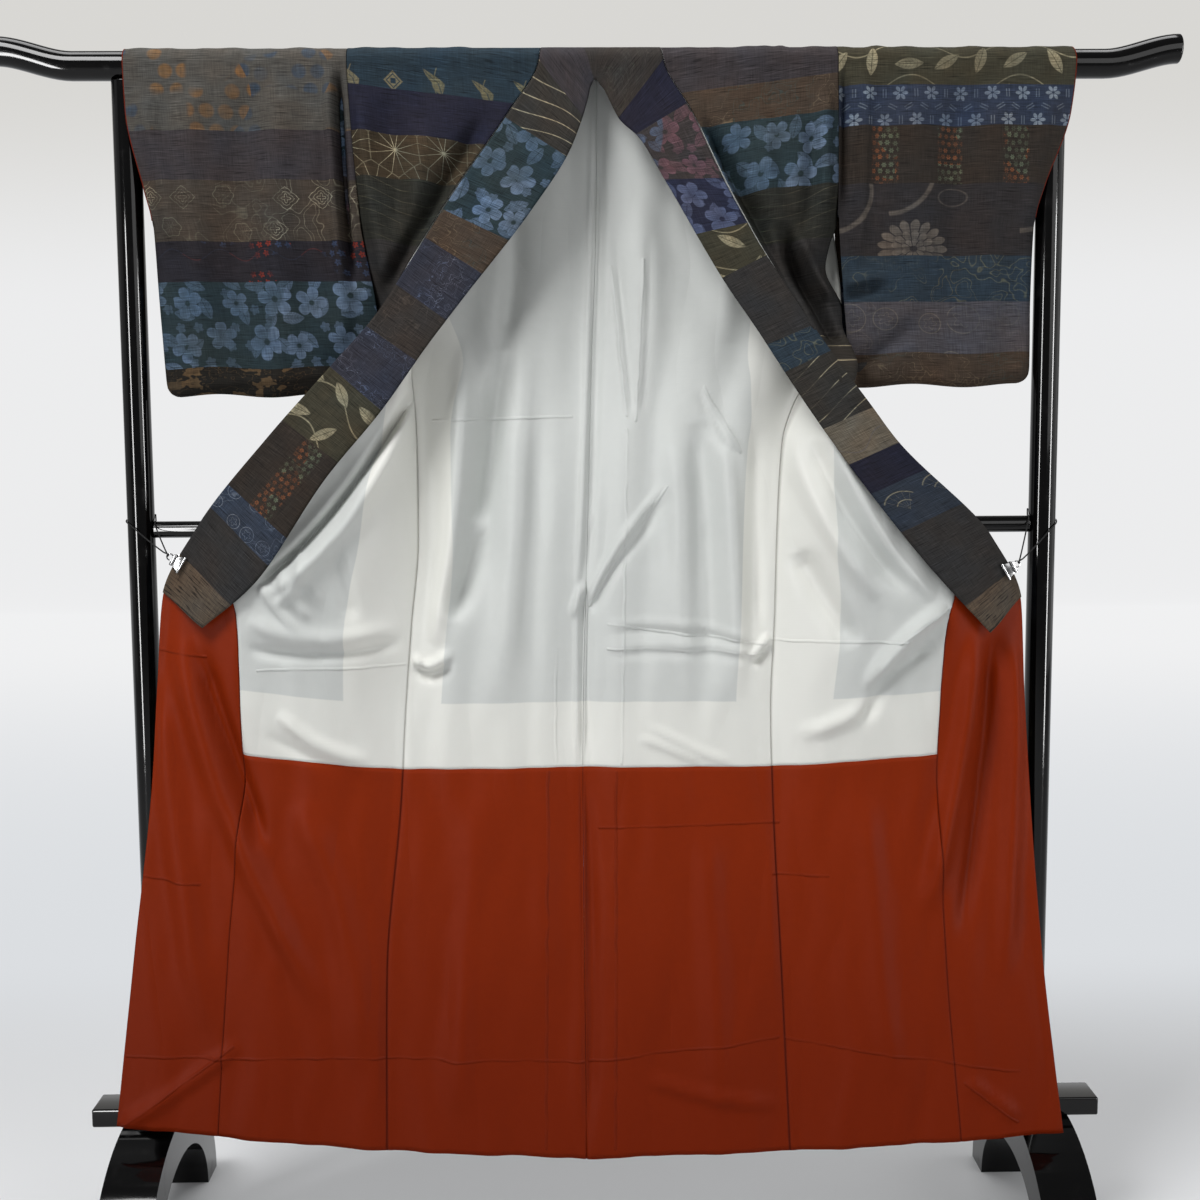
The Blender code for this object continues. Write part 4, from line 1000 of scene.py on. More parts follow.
    def bloom(self):
        """Large open flowers of five notched petals among leaves and buds."""
        x, y, one, two, three = self.cell(0.5, 1.0, 0.34)
        reach, angle = self.polar(x, y)
        grow = 0.33 + three * 0.15
        lobe = abs((angle * 2.5 + one * 6.0).cos())
        edge = grow * (0.52 + 0.52 * lobe - 0.1 * (lobe * lobe * lobe * lobe))
        petal = (reach - edge).ease(0.018, -0.018) * (0.45 + 0.6 * reach / edge)
        eye = (reach - grow * 0.16).ease(-0.02, 0.02)
        vein = (lobe - 0.12).ease(-0.08, 0.08)
        flower = petal * eye * (0.45 + 0.55 * vein)
        x, y, one, two, three = self.cell(0.31, 1.37, 0.4)
        leaves = self.blades(x, y, one * 6.28, 6.0, 0.2) * 0.62
        x, y, one, two, three = self.cell(0.67, 2.3, 0.3)
        reach, angle = self.polar(x, y)
        bud = (reach - 0.2 - 0.1 * abs((angle * 2.5).cos())).ease(0.03, -0.03) * (two > 0.55) * 0.5
        return flower.top(leaves).top(bud)

    def leaf(self):
        """Pointed leaves along a waving stem."""
        wave = (self.p * 2.1).cos() * 0.3
        lane = self.q * 0.86 + wave
        stem = self.line(lane - lane.floor() - 0.5, 0.016) * 0.8
        x, y, one, two, three = self.cell(0.37, 1.0, 0.16)
        return self.blades(x, y, (one - 0.5) * 2.4 + (two > 0.5) * 1.4, 6.2, 0.15).top(stem)

    def sprig(self):
        """Square medallions and upright sprays, set well apart."""
        x, y, one, two, three = self.cell(0.5, 1.0, 0.14)
        box = abs(x).top(abs(y))
        turned_box = abs(x + y).top(abs(x - y))
        square = (turned_box - 0.22).ease(0.012, -0.012) * (box - 0.06).ease(-0.01, 0.01)
        gap = (abs(turned_box - 0.15) - 0.015).ease(-0.012, 0.012)
        medal = square * gap
        spray = self.blades(x + abs(y) * 0.5 - 0.08, y, 0.9, 9.0, 0.12)
        stem = self.line(x - y * y * 0.8 + 0.02, 0.01) * (abs(y) - 0.3).ease(0.02, -0.02)
        spray = spray.top(stem)
        choose = three > 0.5
        return (medal * choose + spray * (1.0 - choose)) * 0.9

    def lattice(self):
        """Distance, angle and hexagon distance from the nearest of staggered centres."""
        spots = []
        for shift in (0.0, 0.5):
            x = self.p + shift
            y = self.q / ROOT_3 + shift
            x = x - x.floor() - 0.5
            y = (y - y.floor() - 0.5) * ROOT_3
            spots.append((x, y, x * x + y * y))
        (ax, ay, ad), (bx, by, bd) = spots
        first = ad < bd
        x = ax * first + bx * (1.0 - first)
        y = ay * first + by * (1.0 - first)
        reach, angle = self.polar(x, y)
        hexagon = abs(x).top(abs(x) * 0.5 + abs(y) * (ROOT_3 / 2))
        return reach, angle, hexagon

    def hex(self):
        """Dashed hexagons round small stars of six petals."""
        reach, angle, hexagon = self.lattice()
        dash = ((angle * 6.0).cos() + 0.15).ease(-0.1, 0.1)
        outline = self.line(hexagon - 0.455, 0.016) * dash * 0.55
        star = (reach - 0.09 - 0.15 * abs((angle * 3.0).cos())).ease(0.02, -0.02)
        hole = (reach - 0.045).ease(-0.01, 0.01)
        ray = (abs((angle * 3.0).cos()) - 0.3).ease(-0.1, 0.1)
        return outline.top(star * hole * ray)

    def rays(self):
        """Hemp leaf: fine rays from each centre to its hexagon."""
        reach, angle, hexagon = self.lattice()
        ray = (reach * abs((angle * 6.0).cos()) * 0.25 - 0.008).ease(0.005, -0.005)
        fade = 0.5 + 0.5 * (reach - 0.45).ease(0.0, -0.4)
        return (ray * fade).top(self.line(hexagon - 0.495, 0.004, 0.006) * 0.35)

    def scroll(self):
        """Thin drawn outlines of curling shapes."""
        if self.curls:
            return self.curls
        ring = self.noise(self.cells, 1.35, 1.0, 0.45)
        line = self.line(ring - 0.5, 0.006, 0.01)
        other = self.line(ring - 0.585, 0.004, 0.008)
        group = self.noise(self.cells, 0.42, 0.0).ease(0.4, 0.5)
        self.curls = line.top(other) * (0.15 + 0.85 * group)
        return self.curls

    def drawn(self):
        """Lozenges, wheels and curls drawn in a fine outline."""
        x, y, one, two, three = self.cell(0.5, 1.0, 0.22)
        reach, angle = self.polar(x, y)
        lozenge = abs(x) * 0.9 + abs(y) + (angle * 8.0).cos() * 0.012
        box = self.line(lozenge - 0.34, 0.01).top(self.line(lozenge - 0.22, 0.009) * 0.8)
        box = box.top(self.line(reach - 0.09 - 0.04 * (angle * 4.0).cos(), 0.01))
        wheel = self.line(reach - 0.26 - 0.02 * (angle * 6.0).cos(), 0.01)
        spokes = self.line((angle * 5.0).cos() * reach, 0.01)
        wheel = wheel.top(spokes * (reach - 0.2).ease(0.02, -0.02))
        choose = three > 0.55
        near = (reach - 0.44).ease(0.02, -0.02) * (one > 0.25)
        return ((box * choose + wheel * (1.0 - choose)) * near).top(self.scroll() * 0.55)

    def tiny(self):
        """Small flowers in groups, on thin curling stems."""
        x, y, one, two, three = self.cell(0.5, 1.0, 0.2)
        reach, angle = self.polar(x, y)
        here = self.noise(self.cells, 0.14, 0.0).ease(0.52, 0.58)
        edge = 0.16 + 0.2 * abs((angle * 2.5).cos())
        petal = (reach - edge).ease(0.03, -0.03) * (reach - 0.06).ease(-0.01, 0.01)
        x, y, _, _, _ = self.cell(0.0, 0.2)
        thread = self.line(y + (x * 6.28).cos() * 0.12, 0.006) * 0.35
        return (petal * here * (one > 0.2)).top(thread)

    def strip(self):
        """Upright columns of small flowers with plain cloth between."""
        lane = (self.p - 7.0) * (0.0095 / 0.09) + 0.8
        lane = lane - lane.floor()
        inside = (abs(lane - 0.5) - 0.2).ease(0.02, -0.02)
        x, y, one, two, three = self.cell(0.5, 1.0, 0.2)
        reach, angle = self.polar(x, y)
        petal = (reach - 0.18 - 0.2 * abs((angle * 3.0).cos())).ease(0.03, -0.03)
        petal = petal * (reach - 0.07).ease(-0.01, 0.01) * (0.3 + 0.7 * one)
        return inside * petal.top(self.scroll() * 0.6)

    def rings(self):
        """Drawn circles with an inner flower, loosely set."""
        x, y, one, two, three = self.cell(0.5, 1.0, 0.3)
        reach, angle = self.polar(x, y * 1.15)
        grow = 0.25 + three * 0.13
        outer = self.line(reach - grow, 0.009, 0.012)
        inner = self.line(reach - grow * (0.48 + 0.14 * (angle * 5.0).cos()), 0.008, 0.012)
        return outer.top(inner * 0.8).top(self.scroll() * 0.45)

    def arcs(self):
        """Long thin arcs that cross the cloth, broken here and there."""
        bend = (self.p * 1.9).cos() * 0.55
        lane = self.q * 4.0 + bend * (1.0 + self.noise(self.cells, 0.5, 0.0))
        gap = self.noise(self.cells, 1.1, 0.0).ease(0.34, 0.44)
        return self.line(lane - lane.floor() - 0.5, 0.028, 0.022) * (0.12 + 0.88 * gap)

    def mum(self):
        """One large chrysanthemum to a repeat, with two curved stems."""
        x, y, _, _, _ = self.cell(0.0)
        reach, angle = self.polar(x, y * 1.25)
        flower = None
        for count, low, high in ((17.0, 0.105, 0.19), (13.0, 0.06, 0.12), (9.0, 0.02, 0.066)):
            lobe = abs((angle * (count / 2.0)).cos())
            petal = (reach - high * (0.8 + 0.2 * lobe)).ease(0.006, -0.006)
            petal = petal * (reach - low).ease(-0.004, 0.004) * (lobe - 0.2).ease(-0.1, 0.14)
            petal = petal * (0.45 + 0.55 * (reach - low) / (high - low))
            flower = petal if flower is None else flower.top(petal)
        stems = None
        for cx, cy, r, wide in ((-0.42, -0.3, 0.205, 0.012), (-0.12, -0.42, 0.235, 0.011)):
            far = ((x - cx) * (x - cx) + (y - cy) * (y - cy)).root()
            stem = self.line(far - r, wide, 0.006) * (x > cx) * (y > cy - 0.1) * 0.7
            stems = stem if stems is None else stems.top(stem)
        cloud = self.line(self.polar(x - 0.22, (y + 0.27) * 1.8)[0] - 0.08, 0.004, 0.006) * 0.5
        return flower.top(stems).top(cloud)

    def patch(self):
        """Ragged shapes of a lighter dye among thin outlines."""
        shape = self.noise(self.vector(self.p * 0.7, self.q * 1.3), 1.3, 3.0, 0.65)
        outline = self.line(shape - 0.47, 0.004, 0.008) * 0.6
        return ((shape - 0.56).ease(-0.008, 0.02) * 0.8).top(outline)

    def spots(self):
        """Soft round spots in groups."""
        x, y, one, two, three = self.cell(0.5, 1.0, 0.2)
        reach, _ = self.polar(x, y)
        group = self.noise(self.cells, 0.26, 0.0).ease(0.49, 0.52)
        return (reach - 0.34).ease(0.11, -0.05) * group * (one > 0.22) * (0.25 + 0.45 * two)

    def fans(self):
        """Open folding fans, drawn with their ribs."""
        x, y, one, two, three = self.cell(0.5, 1.0, 0.1)
        reach, angle = self.polar(x, y - 0.22)
        open_part = (abs(angle + QUARTER_TURN) - 0.85).ease(0.03, -0.03)
        open_part = open_part * (reach - 0.52).ease(0.012, -0.012)
        rib = self.line((angle * 9.0).cos() * reach, 0.014, 0.012)
        band = self.line(reach - 0.5, 0.012).top(self.line(reach - 0.26, 0.01))
        return open_part * rib.top(band) * 0.9

    def dash(self):
        """Broken dark lines, as of bark."""
        run = self.noise(self.vector(self.p * 0.9, self.q * 9.0), 1.0, 1.0)
        return (run - 0.6).ease(0.0, 0.05)


# Bands of each long piece, from its back hem (below 0) up over the shoulder and
# down to its front hem: where each begins along the cloth, its cloth and, where a
# motif must fall in one place, how far its repeat is moved
BACK_BANDS = [
    (-1.565, "moss"), (-1.43, "ink"), (-1.33, "hemp"), (-1.215, "blue"), (-1.11, "coal"),
    (-1.02, "pink"), (-0.94, "soot"), (-0.85, "wave"), (-0.74, "sky"), (-0.64, "plum"),
    (-0.52, "olive"), (-0.41, "teal"), (-0.3, "umber"), (-0.2, "indigo"),
]
FRONT_BANDS = [
    (0.52, "indigo"), (0.62, "umber"), (0.72, "blue"), (0.83, "coal"), (0.93, "hemp"),
    (1.03, "plum"), (1.13, "teal"), (1.24, "wave"), (1.35, "ink"), (1.45, "olive"),
]
BODY_BANDS = {
    "left": BACK_BANDS + [(-0.12, "pink"), (-0.04, "lake"), (0.052, "violet"),
                          (0.116, "hemp", 0.15, 0.95), (0.18, "moss"), (0.262, "coal"),
                          (0.4, "wave")] + FRONT_BANDS,
    "right": BACK_BANDS + [(-0.12, "blue"), (-0.04, "plum"), (0.047, "umber"), (0.096, "teal"),
                           (0.184, "moss"), (0.262, "coal"), (0.4, "wave")] + FRONT_BANDS,
}
outer = {name: Cloth("pieced_silk_body_" + name, BODY_BANDS[name], -HEM, HEM).material
         for name in SIDE}
LOW, HIGH = 0.0002, 0.0011
for name, sign in SIDE.items():
    for title, laid, shift, flat, area in (
        ("body", panels[name], 0.0, (0.33, 3.14), 0.86),
        ("overlap", overlaps[name], 0.25, (0.15, 1.15), 0.13),
    ):
        points, across, along = laid
        piece = cut("%s_panel_%s" % (title, name), points, across + shift, along, LOW, HIGH, -sign,
                    outer[name], ["%s_%s" % (title, name)])

# ---- Collar ----
# A long folded strip of the same pieced silk, stitched round the neck and down
# both fronts, and turned back so that its face shows all the way along.
# Collar: t of the sewn edge, free edge x on the left and on the right, its y, its h on the
# left and on the right, how far the sewn edge clears the panel across and forward; t < 0 is
# the back neckline
COLLAR = [
    (-490, 55, 55, 0, 580, 580, 6, 0), (-460, 40, 80, 0, 600, 600, 6, 0),
    (-360, 20, 110, 0, 640, 640, 6, 0), (-200, -10, 160, -20, 700, 700, 7, 0),
    (0, -40, 240, -60, 840, 860, 8, 0), (340, -120, 380, -140, 1120, 1140, 10, 0),
    (1000, -300, 640, -240, 1580, 1400, 18, -8), (2000, -850, 1020, -380, 2420, 2040, 30, -22),
    (3000, -1760, 1780, -560, 3580, 3360, 20, -36), (3700, -2240, 2220, -680, 4210, 4020, 5, -40),
    (4500, -2850, 2700, -780, 5060, 4770, 0, -42), (5500, -3620, 3450, -800, 5970, 5830, 0, -42),
    (6800, -4650, 4600, -780, 7420, 7260, 0, -42), (7900, -5380, 5460, -660, 8015, 8165, 0, -42),
]
COLLAR_R = WRAP_R + 0.0005
COLLAR_END = 0.79


def collar_half(side, t, v):
    """Points of the collar at t along its seam, v of the way to its free edge."""
    which = SIDES.index(side)
    neck = at(NECKLINE, -t)[which]
    fx, fy, fh = at(FRONT[side], t)[3:6]
    behind = t < 0
    ex = np.where(behind, neck, fx)
    ey = np.where(behind, 0.0, fy)
    eh = np.where(behind, t, np.where(t > 1e-6, fh, 0.0))
    *gx, gy, h_left, h_right, across, ahead_y = at(COLLAR, t)
    gx, gh = gx[which], (h_left, h_right)[which]
    ex = ex - np.where(t > 0.0005 - NECK_DROP, SIDE[side] * across, 0.0)
    ey = ey + ahead_y
    eh = eh + 0.0006 * held(-t / NECK_DROP)
    ease = v * v * (3 - 2 * v)
    return wrap(ex + (gx - ex) * v, eh + (gh - eh) * v, ey + (gy - ey) * ease, COLLAR_R)


def collar_grid(cols):
    """Points of the whole strip, and its cut across and along."""
    behind = np.linspace(-NECK_DROP, 0.0, 18)
    front = spaced(0.0, COLLAR_END, 0.0042)
    stations = np.concatenate((behind, front[1:]))
    v = np.linspace(0.0, 1.0, cols + 1)[None, :]
    t, v = np.broadcast_arrays(stations[:, None], v)
    half = {side: collar_half(side, t, v) for side in SIDE}
    grid = np.concatenate((half["left"][::-1], half["right"][1:]))
    middle = grid[:, (cols + 1) // 2]
    run = np.concatenate(([0.0], np.cumsum(np.linalg.norm(np.diff(middle, axis=0), axis=1))))
    run -= run[len(stations) - 1]
    wide = np.linalg.norm(np.diff(grid, axis=1), axis=2).cumsum(axis=1)
    wide = np.concatenate((np.zeros((len(grid), 1)), wide), axis=1)
    return grid, wide, run[:, None] + np.zeros_like(wide)


# Bands from the left end, past the nape at 0, to the right end
COLLAR_BANDS = [
    (-1.1, "end"), (-0.935, "coal"), (-0.857, "ringed"), (-0.813, "rose", 0.3, 0.0),
    (-0.69, "olive"), (-0.6, "ink"), (-0.52, "soot"), (-0.45, "ink", 0.5, 0.3),
    (-0.37, "umber"), (-0.32, "teal", 0.2, 0.0), (-0.178, "wave"), (-0.095, "plum"),
    (-0.02, "soot"), (0.1, "violet"), (0.15, "pink"), (0.245, "indigo"), (0.325, "olive"),
    (0.383, "coal"), (0.49, "sky"), (0.537, "wave"), (0.63, "tan"), (0.695, "violet"),
    (0.745, "fan"), (0.81, "coal"), (0.94, "end"),
]
collar_cloth = Cloth("pieced_silk_collar", COLLAR_BANDS, -1.1, 1.1).material
grid, across, along = collar_grid(24)
collar = cut("collar_strip", grid, across, along, -0.0011, 0.0011, 1.0, collar_cloth,
             ["collar"])

# ---- Sleeves ----
# A short square sleeve a side, cut in one over the rail, open at the cuff and
# toward the body, and closed along the bottom and below the hand opening.
SLEEVE_R = RAIL_R + 0.0016
SLEEVE_DROP = {"left": 0.483, "right": 0.474}
CUFF_DROP = 0.245
SLEEVE_ROUND = 0.013
SLEEVE_COLS = 56
# h, inner edge x below the armhole, outer edge x, half depth
SLEEVE = {
    "left": [
        (0, -3330, -6370, 216), (340, -3325, -6365, 216), (1000, -3290, -6345, 225),
        (2050, -3216, -6125, 225), (2450, -3185, -6035, 220), (3600, -2990, -5985, 180),
        (4500, -2910, -5940, 115), (4680, -2910, -5925, 85), (4760, -2910, -5885, 72),
        (4800, -2910, -5840, 66), (4830, -2910, -5770, 60),
    ],
    "right": [
        (0, 3380, 6630, 216), (340, 3385, 6660, 216), (1000, 3390, 6600, 225),
        (2050, 3400, 6250, 225), (2450, 3410, 6140, 220), (3600, 3500, 6115, 180),
        (4500, 3590, 6130, 115), (4600, 3596, 6120, 96), (4670, 3600, 6085, 78),
        (4710, 3600, 6040, 66), (4740, 3600, 5970, 60),
    ],
}
SLEEVE_BANDS = {
    "left": [
        (-0.5, "indigo"), (-0.42, "brown"), (-0.34, "bark"), (-0.25, "pink"),
        (-0.16, "teal"), (-0.07, "grey"), (0.124, "plum"), (0.189, "brown"), (0.272, "night"),
        (0.327, "teal"), (0.444, "bark"),
    ],
    "right": [
        (-0.5, "coal"), (-0.42, "ink"), (-0.33, "umber"), (-0.24, "ringed"),
        (-0.15, "soot"), (-0.04, "olive"), (0.063, "blue"), (0.121, "rose"),
        (0.196, "slate", 0.115, 0.146), (0.295, "sky"), (0.356, "ash"), (0.428, "umber"),
    ],
}
SLEEVE_CREASES = [
    (-3440, 17000, -3420, 15600, -3320, 13800, 55, -135),
    (-3570, 17000, -3560, 15600, -3460, 13800, 60, 75),
    (-4200, 16600, -4320, 15200, -4250, 13300, 220, 44),
    (-4700, 16500, -4860, 14800, -4800, 12500, 240, -44),
    (-5400, 16600, -5450, 15200, -5300, 12600, 200, 40),
    (-6100, 16400, -5900, 15300, -5700, 14200, 140, 50),
    (-3500, 12620, -4500, 12520, -5600, 12480, 60, 12),
    (-3450, 13000, -3420, 14000, -3500, 14800, 140, 40),
    (3460, 16900, 3460, 15800, 3450, 14800, 60, -90),
    (3720, 16900, 3740, 15600, 3660, 14000, 100, 60),
    (4400, 16600, 4520, 15000, 4400, 13000, 220, 40),
    (5000, 16600, 5050, 14800, 4900, 12400, 200, -40),
    (5660, 16600, 5600, 15000, 5480, 12800, 200, 40),
    (6400, 16500, 6200, 15600, 5900, 14300, 130, 44),
    (4680, 12220, 4800, 12360, 4860, 12600, 70, 44),
    (3450, 13720, 3700, 13840, 4100, 13900, 80, 50),
    (3450, 13600, 3680, 13680, 4000, 13720, 80, -44),
    (3600, 12620, 4000, 12820, 4500, 13300, 140, -60),
    (3800, 12500, 4400, 12430, 5400, 12460, 60, 12),
]
SLEEVE_WAVER = [(0.14, 0.7, 0.9, 0.0018), (0.061, 0.33, 2.4, 0.001), (0.033, 0.19, 4.4, 0.0005)]


def sleeve_sheet(side, h, u):
    """Points of a sleeve h below the rail's top (behind it below 0), u of the way out."""
    deep = np.abs(h)
    inner, out, depth = at(SLEEVE[side], deep)
    front_edge = at(FRONT[side], deep)[0]
    back_edge = at(BACK, np.maximum(deep, NECK_DROP))[SIDES.index(side)]
    back_edge = np.where(deep >= NECK_DROP, back_edge, inner)
    inner = np.where(deep <= CUFF_DROP, np.where(h >= 0, front_edge, back_edge), inner)
    inner = inner + SIDE[side] * 0.0008
    x = inner + (out - inner) * u
    quarter = SLEEVE_R * math.pi / 2
    a = np.minimum(deep, quarter) / SLEEVE_R
    z = RAIL_Z + SLEEVE_R * np.cos(a) - np.maximum(deep - quarter, 0.0)
    z = z + 0.0026 * np.sin(x * 43.0 + SIDE[side]) * held((deep - 0.36) / 0.11)
    swell = 0.006 * np.sin(math.pi * u) * np.sin(math.pi * np.minimum(1.0, deep / 0.48))
    free = held((deep - 0.03) / 0.06)
    press = creases(SLEEVE_CREASES, x, z) + waver(x, z, SLEEVE_WAVER)
    wide = np.abs(out - inner)
    from_body = seam_dip(wide * u) * (deep < CUFF_DROP)
    fall = depth + swell + free * (press * held(wide * u / 0.01) - from_body)
    closed = held((deep - CUFF_DROP) / 0.012)
    near = held(1 - wide * (1 - u) / 0.012)
    fall = fall * (1 - closed * (1 - np.sqrt(1 - near ** 2)))
    near = held(1 - (SLEEVE_DROP[side] - deep) / SLEEVE_ROUND)
    fall = fall * np.sqrt(1 - near ** 2)
    flat = np.where(deep < quarter, SLEEVE_R * np.sin(a), fall)
    join = held((deep - quarter * 0.9) / 0.02)
    flat = np.where(deep < quarter, flat, flat * join + (1 - join) * SLEEVE_R)
    x = x + SIDE[side] * 0.003 * closed * held(1 - wide * (1 - u) / 0.01)
    return ruffle(np.stack((x, np.where(h >= 0, -1.0, 1.0) * flat, z), -1), h)


def sleeve_rows(side):
    """Rows of a sleeve from its front bottom edge over the rail, closest at the bottom."""
    drop = SLEEVE_DROP[side]
    low = drop - SLEEVE_ROUND * (1 - np.cos(np.linspace(0, math.pi / 2, 7)))
    down = np.concatenate((spaced(0.0, drop - SLEEVE_ROUND, 0.0058), low[::-1][1:]))
    return np.concatenate((down[::-1], -down[1:]))


for name, sign in SIDE.items():
    sleeve_cloth = Cloth("pieced_silk_sleeve_" + name, SLEEVE_BANDS[name], -0.5, 0.5).material
    h = sleeve_rows(name)[:, None] + np.zeros((1, SLEEVE_COLS + 1))
    u = columns(SLEEVE_COLS, 0.75)[None, :] + np.zeros_like(h)
    points = sleeve_sheet(name, h, u)
    wide = np.abs(points[:, -1, 0] - points[:, 0, 0])[:, None]
    sleeve = cut("sleeve_bag_" + name, points, u * wide, h, -0.0008, 0.0008, -sign, sleeve_cloth,
                 ["sleeve_" + name])

# ---- Cuff edges ----
# The sleeve's red lining, rolled out past the hand opening by two millimetres
# and stitched down as a narrow edge all round it.
CUFF_R = 0.001


def tube(rows, sides):
    """Faces of a closed tube of rings."""
    faces = []
    for i in range(rows - 1):
        for k in range(sides):
            a, b = i * sides + k, i * sides + (k + 1) % sides
            faces.append((a, b, b + sides, a + sides))
    faces.append(tuple(range(sides - 1, -1, -1)))
    faces.append(tuple((rows - 1) * sides + k for k in range(sides)))
    return faces


for name, sign in SIDE.items():
    h = spaced(-CUFF_DROP, CUFF_DROP, 0.0045)
    rim = sleeve_sheet(name, h, np.ones_like(h))
    ahead_y = np.gradient(rim, axis=0)
    ahead_y /= np.linalg.norm(ahead_y, axis=1, keepdims=True)
    away = np.cross(ahead_y, np.array((sign, 0.0, 0.0)))
    away /= np.linalg.norm(away, axis=1, keepdims=True)
    turn = np.linspace(0, 2 * math.pi, 13)[:-1]
    ring = (rim[:, None]
            + np.array((sign, 0.0, 0.0)) * (0.0002 + CUFF_R * np.cos(turn))[None, :, None]
            + away[:, None] * (CUFF_R * np.sin(turn))[None, :, None])
    # Its cut lies inside the red lining's seam band, so the whole roll is darkened with that
    # painted shade.
    place = np.stack((np.broadcast_to(turn * 0.0001, ring.shape[:2]),
                      np.broadcast_to(h[:, None], ring.shape[:2])), -1)
    roll = made("cuff_roll_" + name, ring.reshape(-1, 3).tolist(), tube(len(h), len(turn)),
                red.material, place.reshape(-1, 2), True)
    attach(roll, "root")
    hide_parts("cuff_edge_" + name)

# ---- Clips ----
# Sprung clips of chromed steel that hold the front edges out: two jaws with
# rolled lips on a bent spine, and a ring for the cord.
chrome = Paint("chromed_steel", Metallic=1.0)
spot = chrome.place()
wear = chrome.noise(spot, 300.0, 3.0, 0.6)
chrome.feed(
    Base_Color=chrome.mix(wear, (0.28, 0.28, 0.285), (0.42, 0.42, 0.42)),
    Roughness=0.1 + wear * 0.16,
    Normal=chrome.bump(wear, 0.05, 0.0003),
)
CLIP_T = 0.735
CLIP_W = 0.026
CLIP_DEPTH = 0.012
CLIP_TOP = 0.0048
RING_R = 0.0044
STEEL = 0.0012
LIP_R = 0.0019


def clip_frame(side):
    """Where a clip bites, the direction of the cloth's edge there and the way out."""
    p, low, high = (front_point(side, np.float64(t), np.float64(1.0))
                    for t in (CLIP_T, CLIP_T + 0.02, CLIP_T - 0.02))
    along = (Vector(low) - Vector(high)).normalized()
    out = Vector((along.z, 0.0, -along.x)).normalized()
    return Vector(p), along, out if out.z > 0 else -out


for name, sign in SIDE.items():
    here, along, out = clip_frame(name)
    parts = []
    for near, far, lip in ((-0.0113, -0.0101, -0.0113), (0.0018, 0.003, 0.003)):
        jaw = block((CLIP_W, STEEL, CLIP_DEPTH + CLIP_TOP),
                    (0.0, (near + far) / 2, (CLIP_TOP - CLIP_DEPTH) / 2))
        bpy.ops.object.mode_set(mode="EDIT")
        bpy.ops.mesh.select_mode(type="FACE")
        pick(jaw, lambda c: c.z > CLIP_TOP - 1e-4)
        bpy.ops.transform.resize(value=(0.46, 1.0, 1.0), center_override=(0.0, 0.0, 0.0))
        bpy.ops.object.mode_set(mode="OBJECT")
        parts += [jaw, bar(LIP_R, CLIP_W, (0.0, lip, LIP_R - CLIP_DEPTH), sides=24)]
    parts.append(block((CLIP_W * 0.46, 0.0143, STEEL), (0.0, -0.00415, CLIP_TOP + 0.0003)))
    parts.append(bar(0.0022, CLIP_W * 0.62, (0.0, -0.0128, 0.0026), sides=24))
    bpy.ops.mesh.primitive_torus_add(major_segments=32, minor_segments=12, major_radius=RING_R,
                                     minor_radius=0.001, rotation=(math.pi / 2, 0.0, 0.0),
                                     location=(0.0, -0.007, CLIP_TOP + 0.0004 + RING_R))
    parts.append(bpy.context.object)
    only(*parts)
    bpy.ops.object.join()
    clip = bpy.context.object
    clip.name = "clip_steel_" + name
    soften(clip, 0.0004, 2, 50.0)
    wide = along if along.x > 0 else -along
    face = Matrix((wide, Vector((0.0, 1.0, 0.0)), out)).transposed().to_4x4()
    face.translation = here
    clip.matrix_world = face
    settle(clip, chrome, "chrome", "clip_" + name)

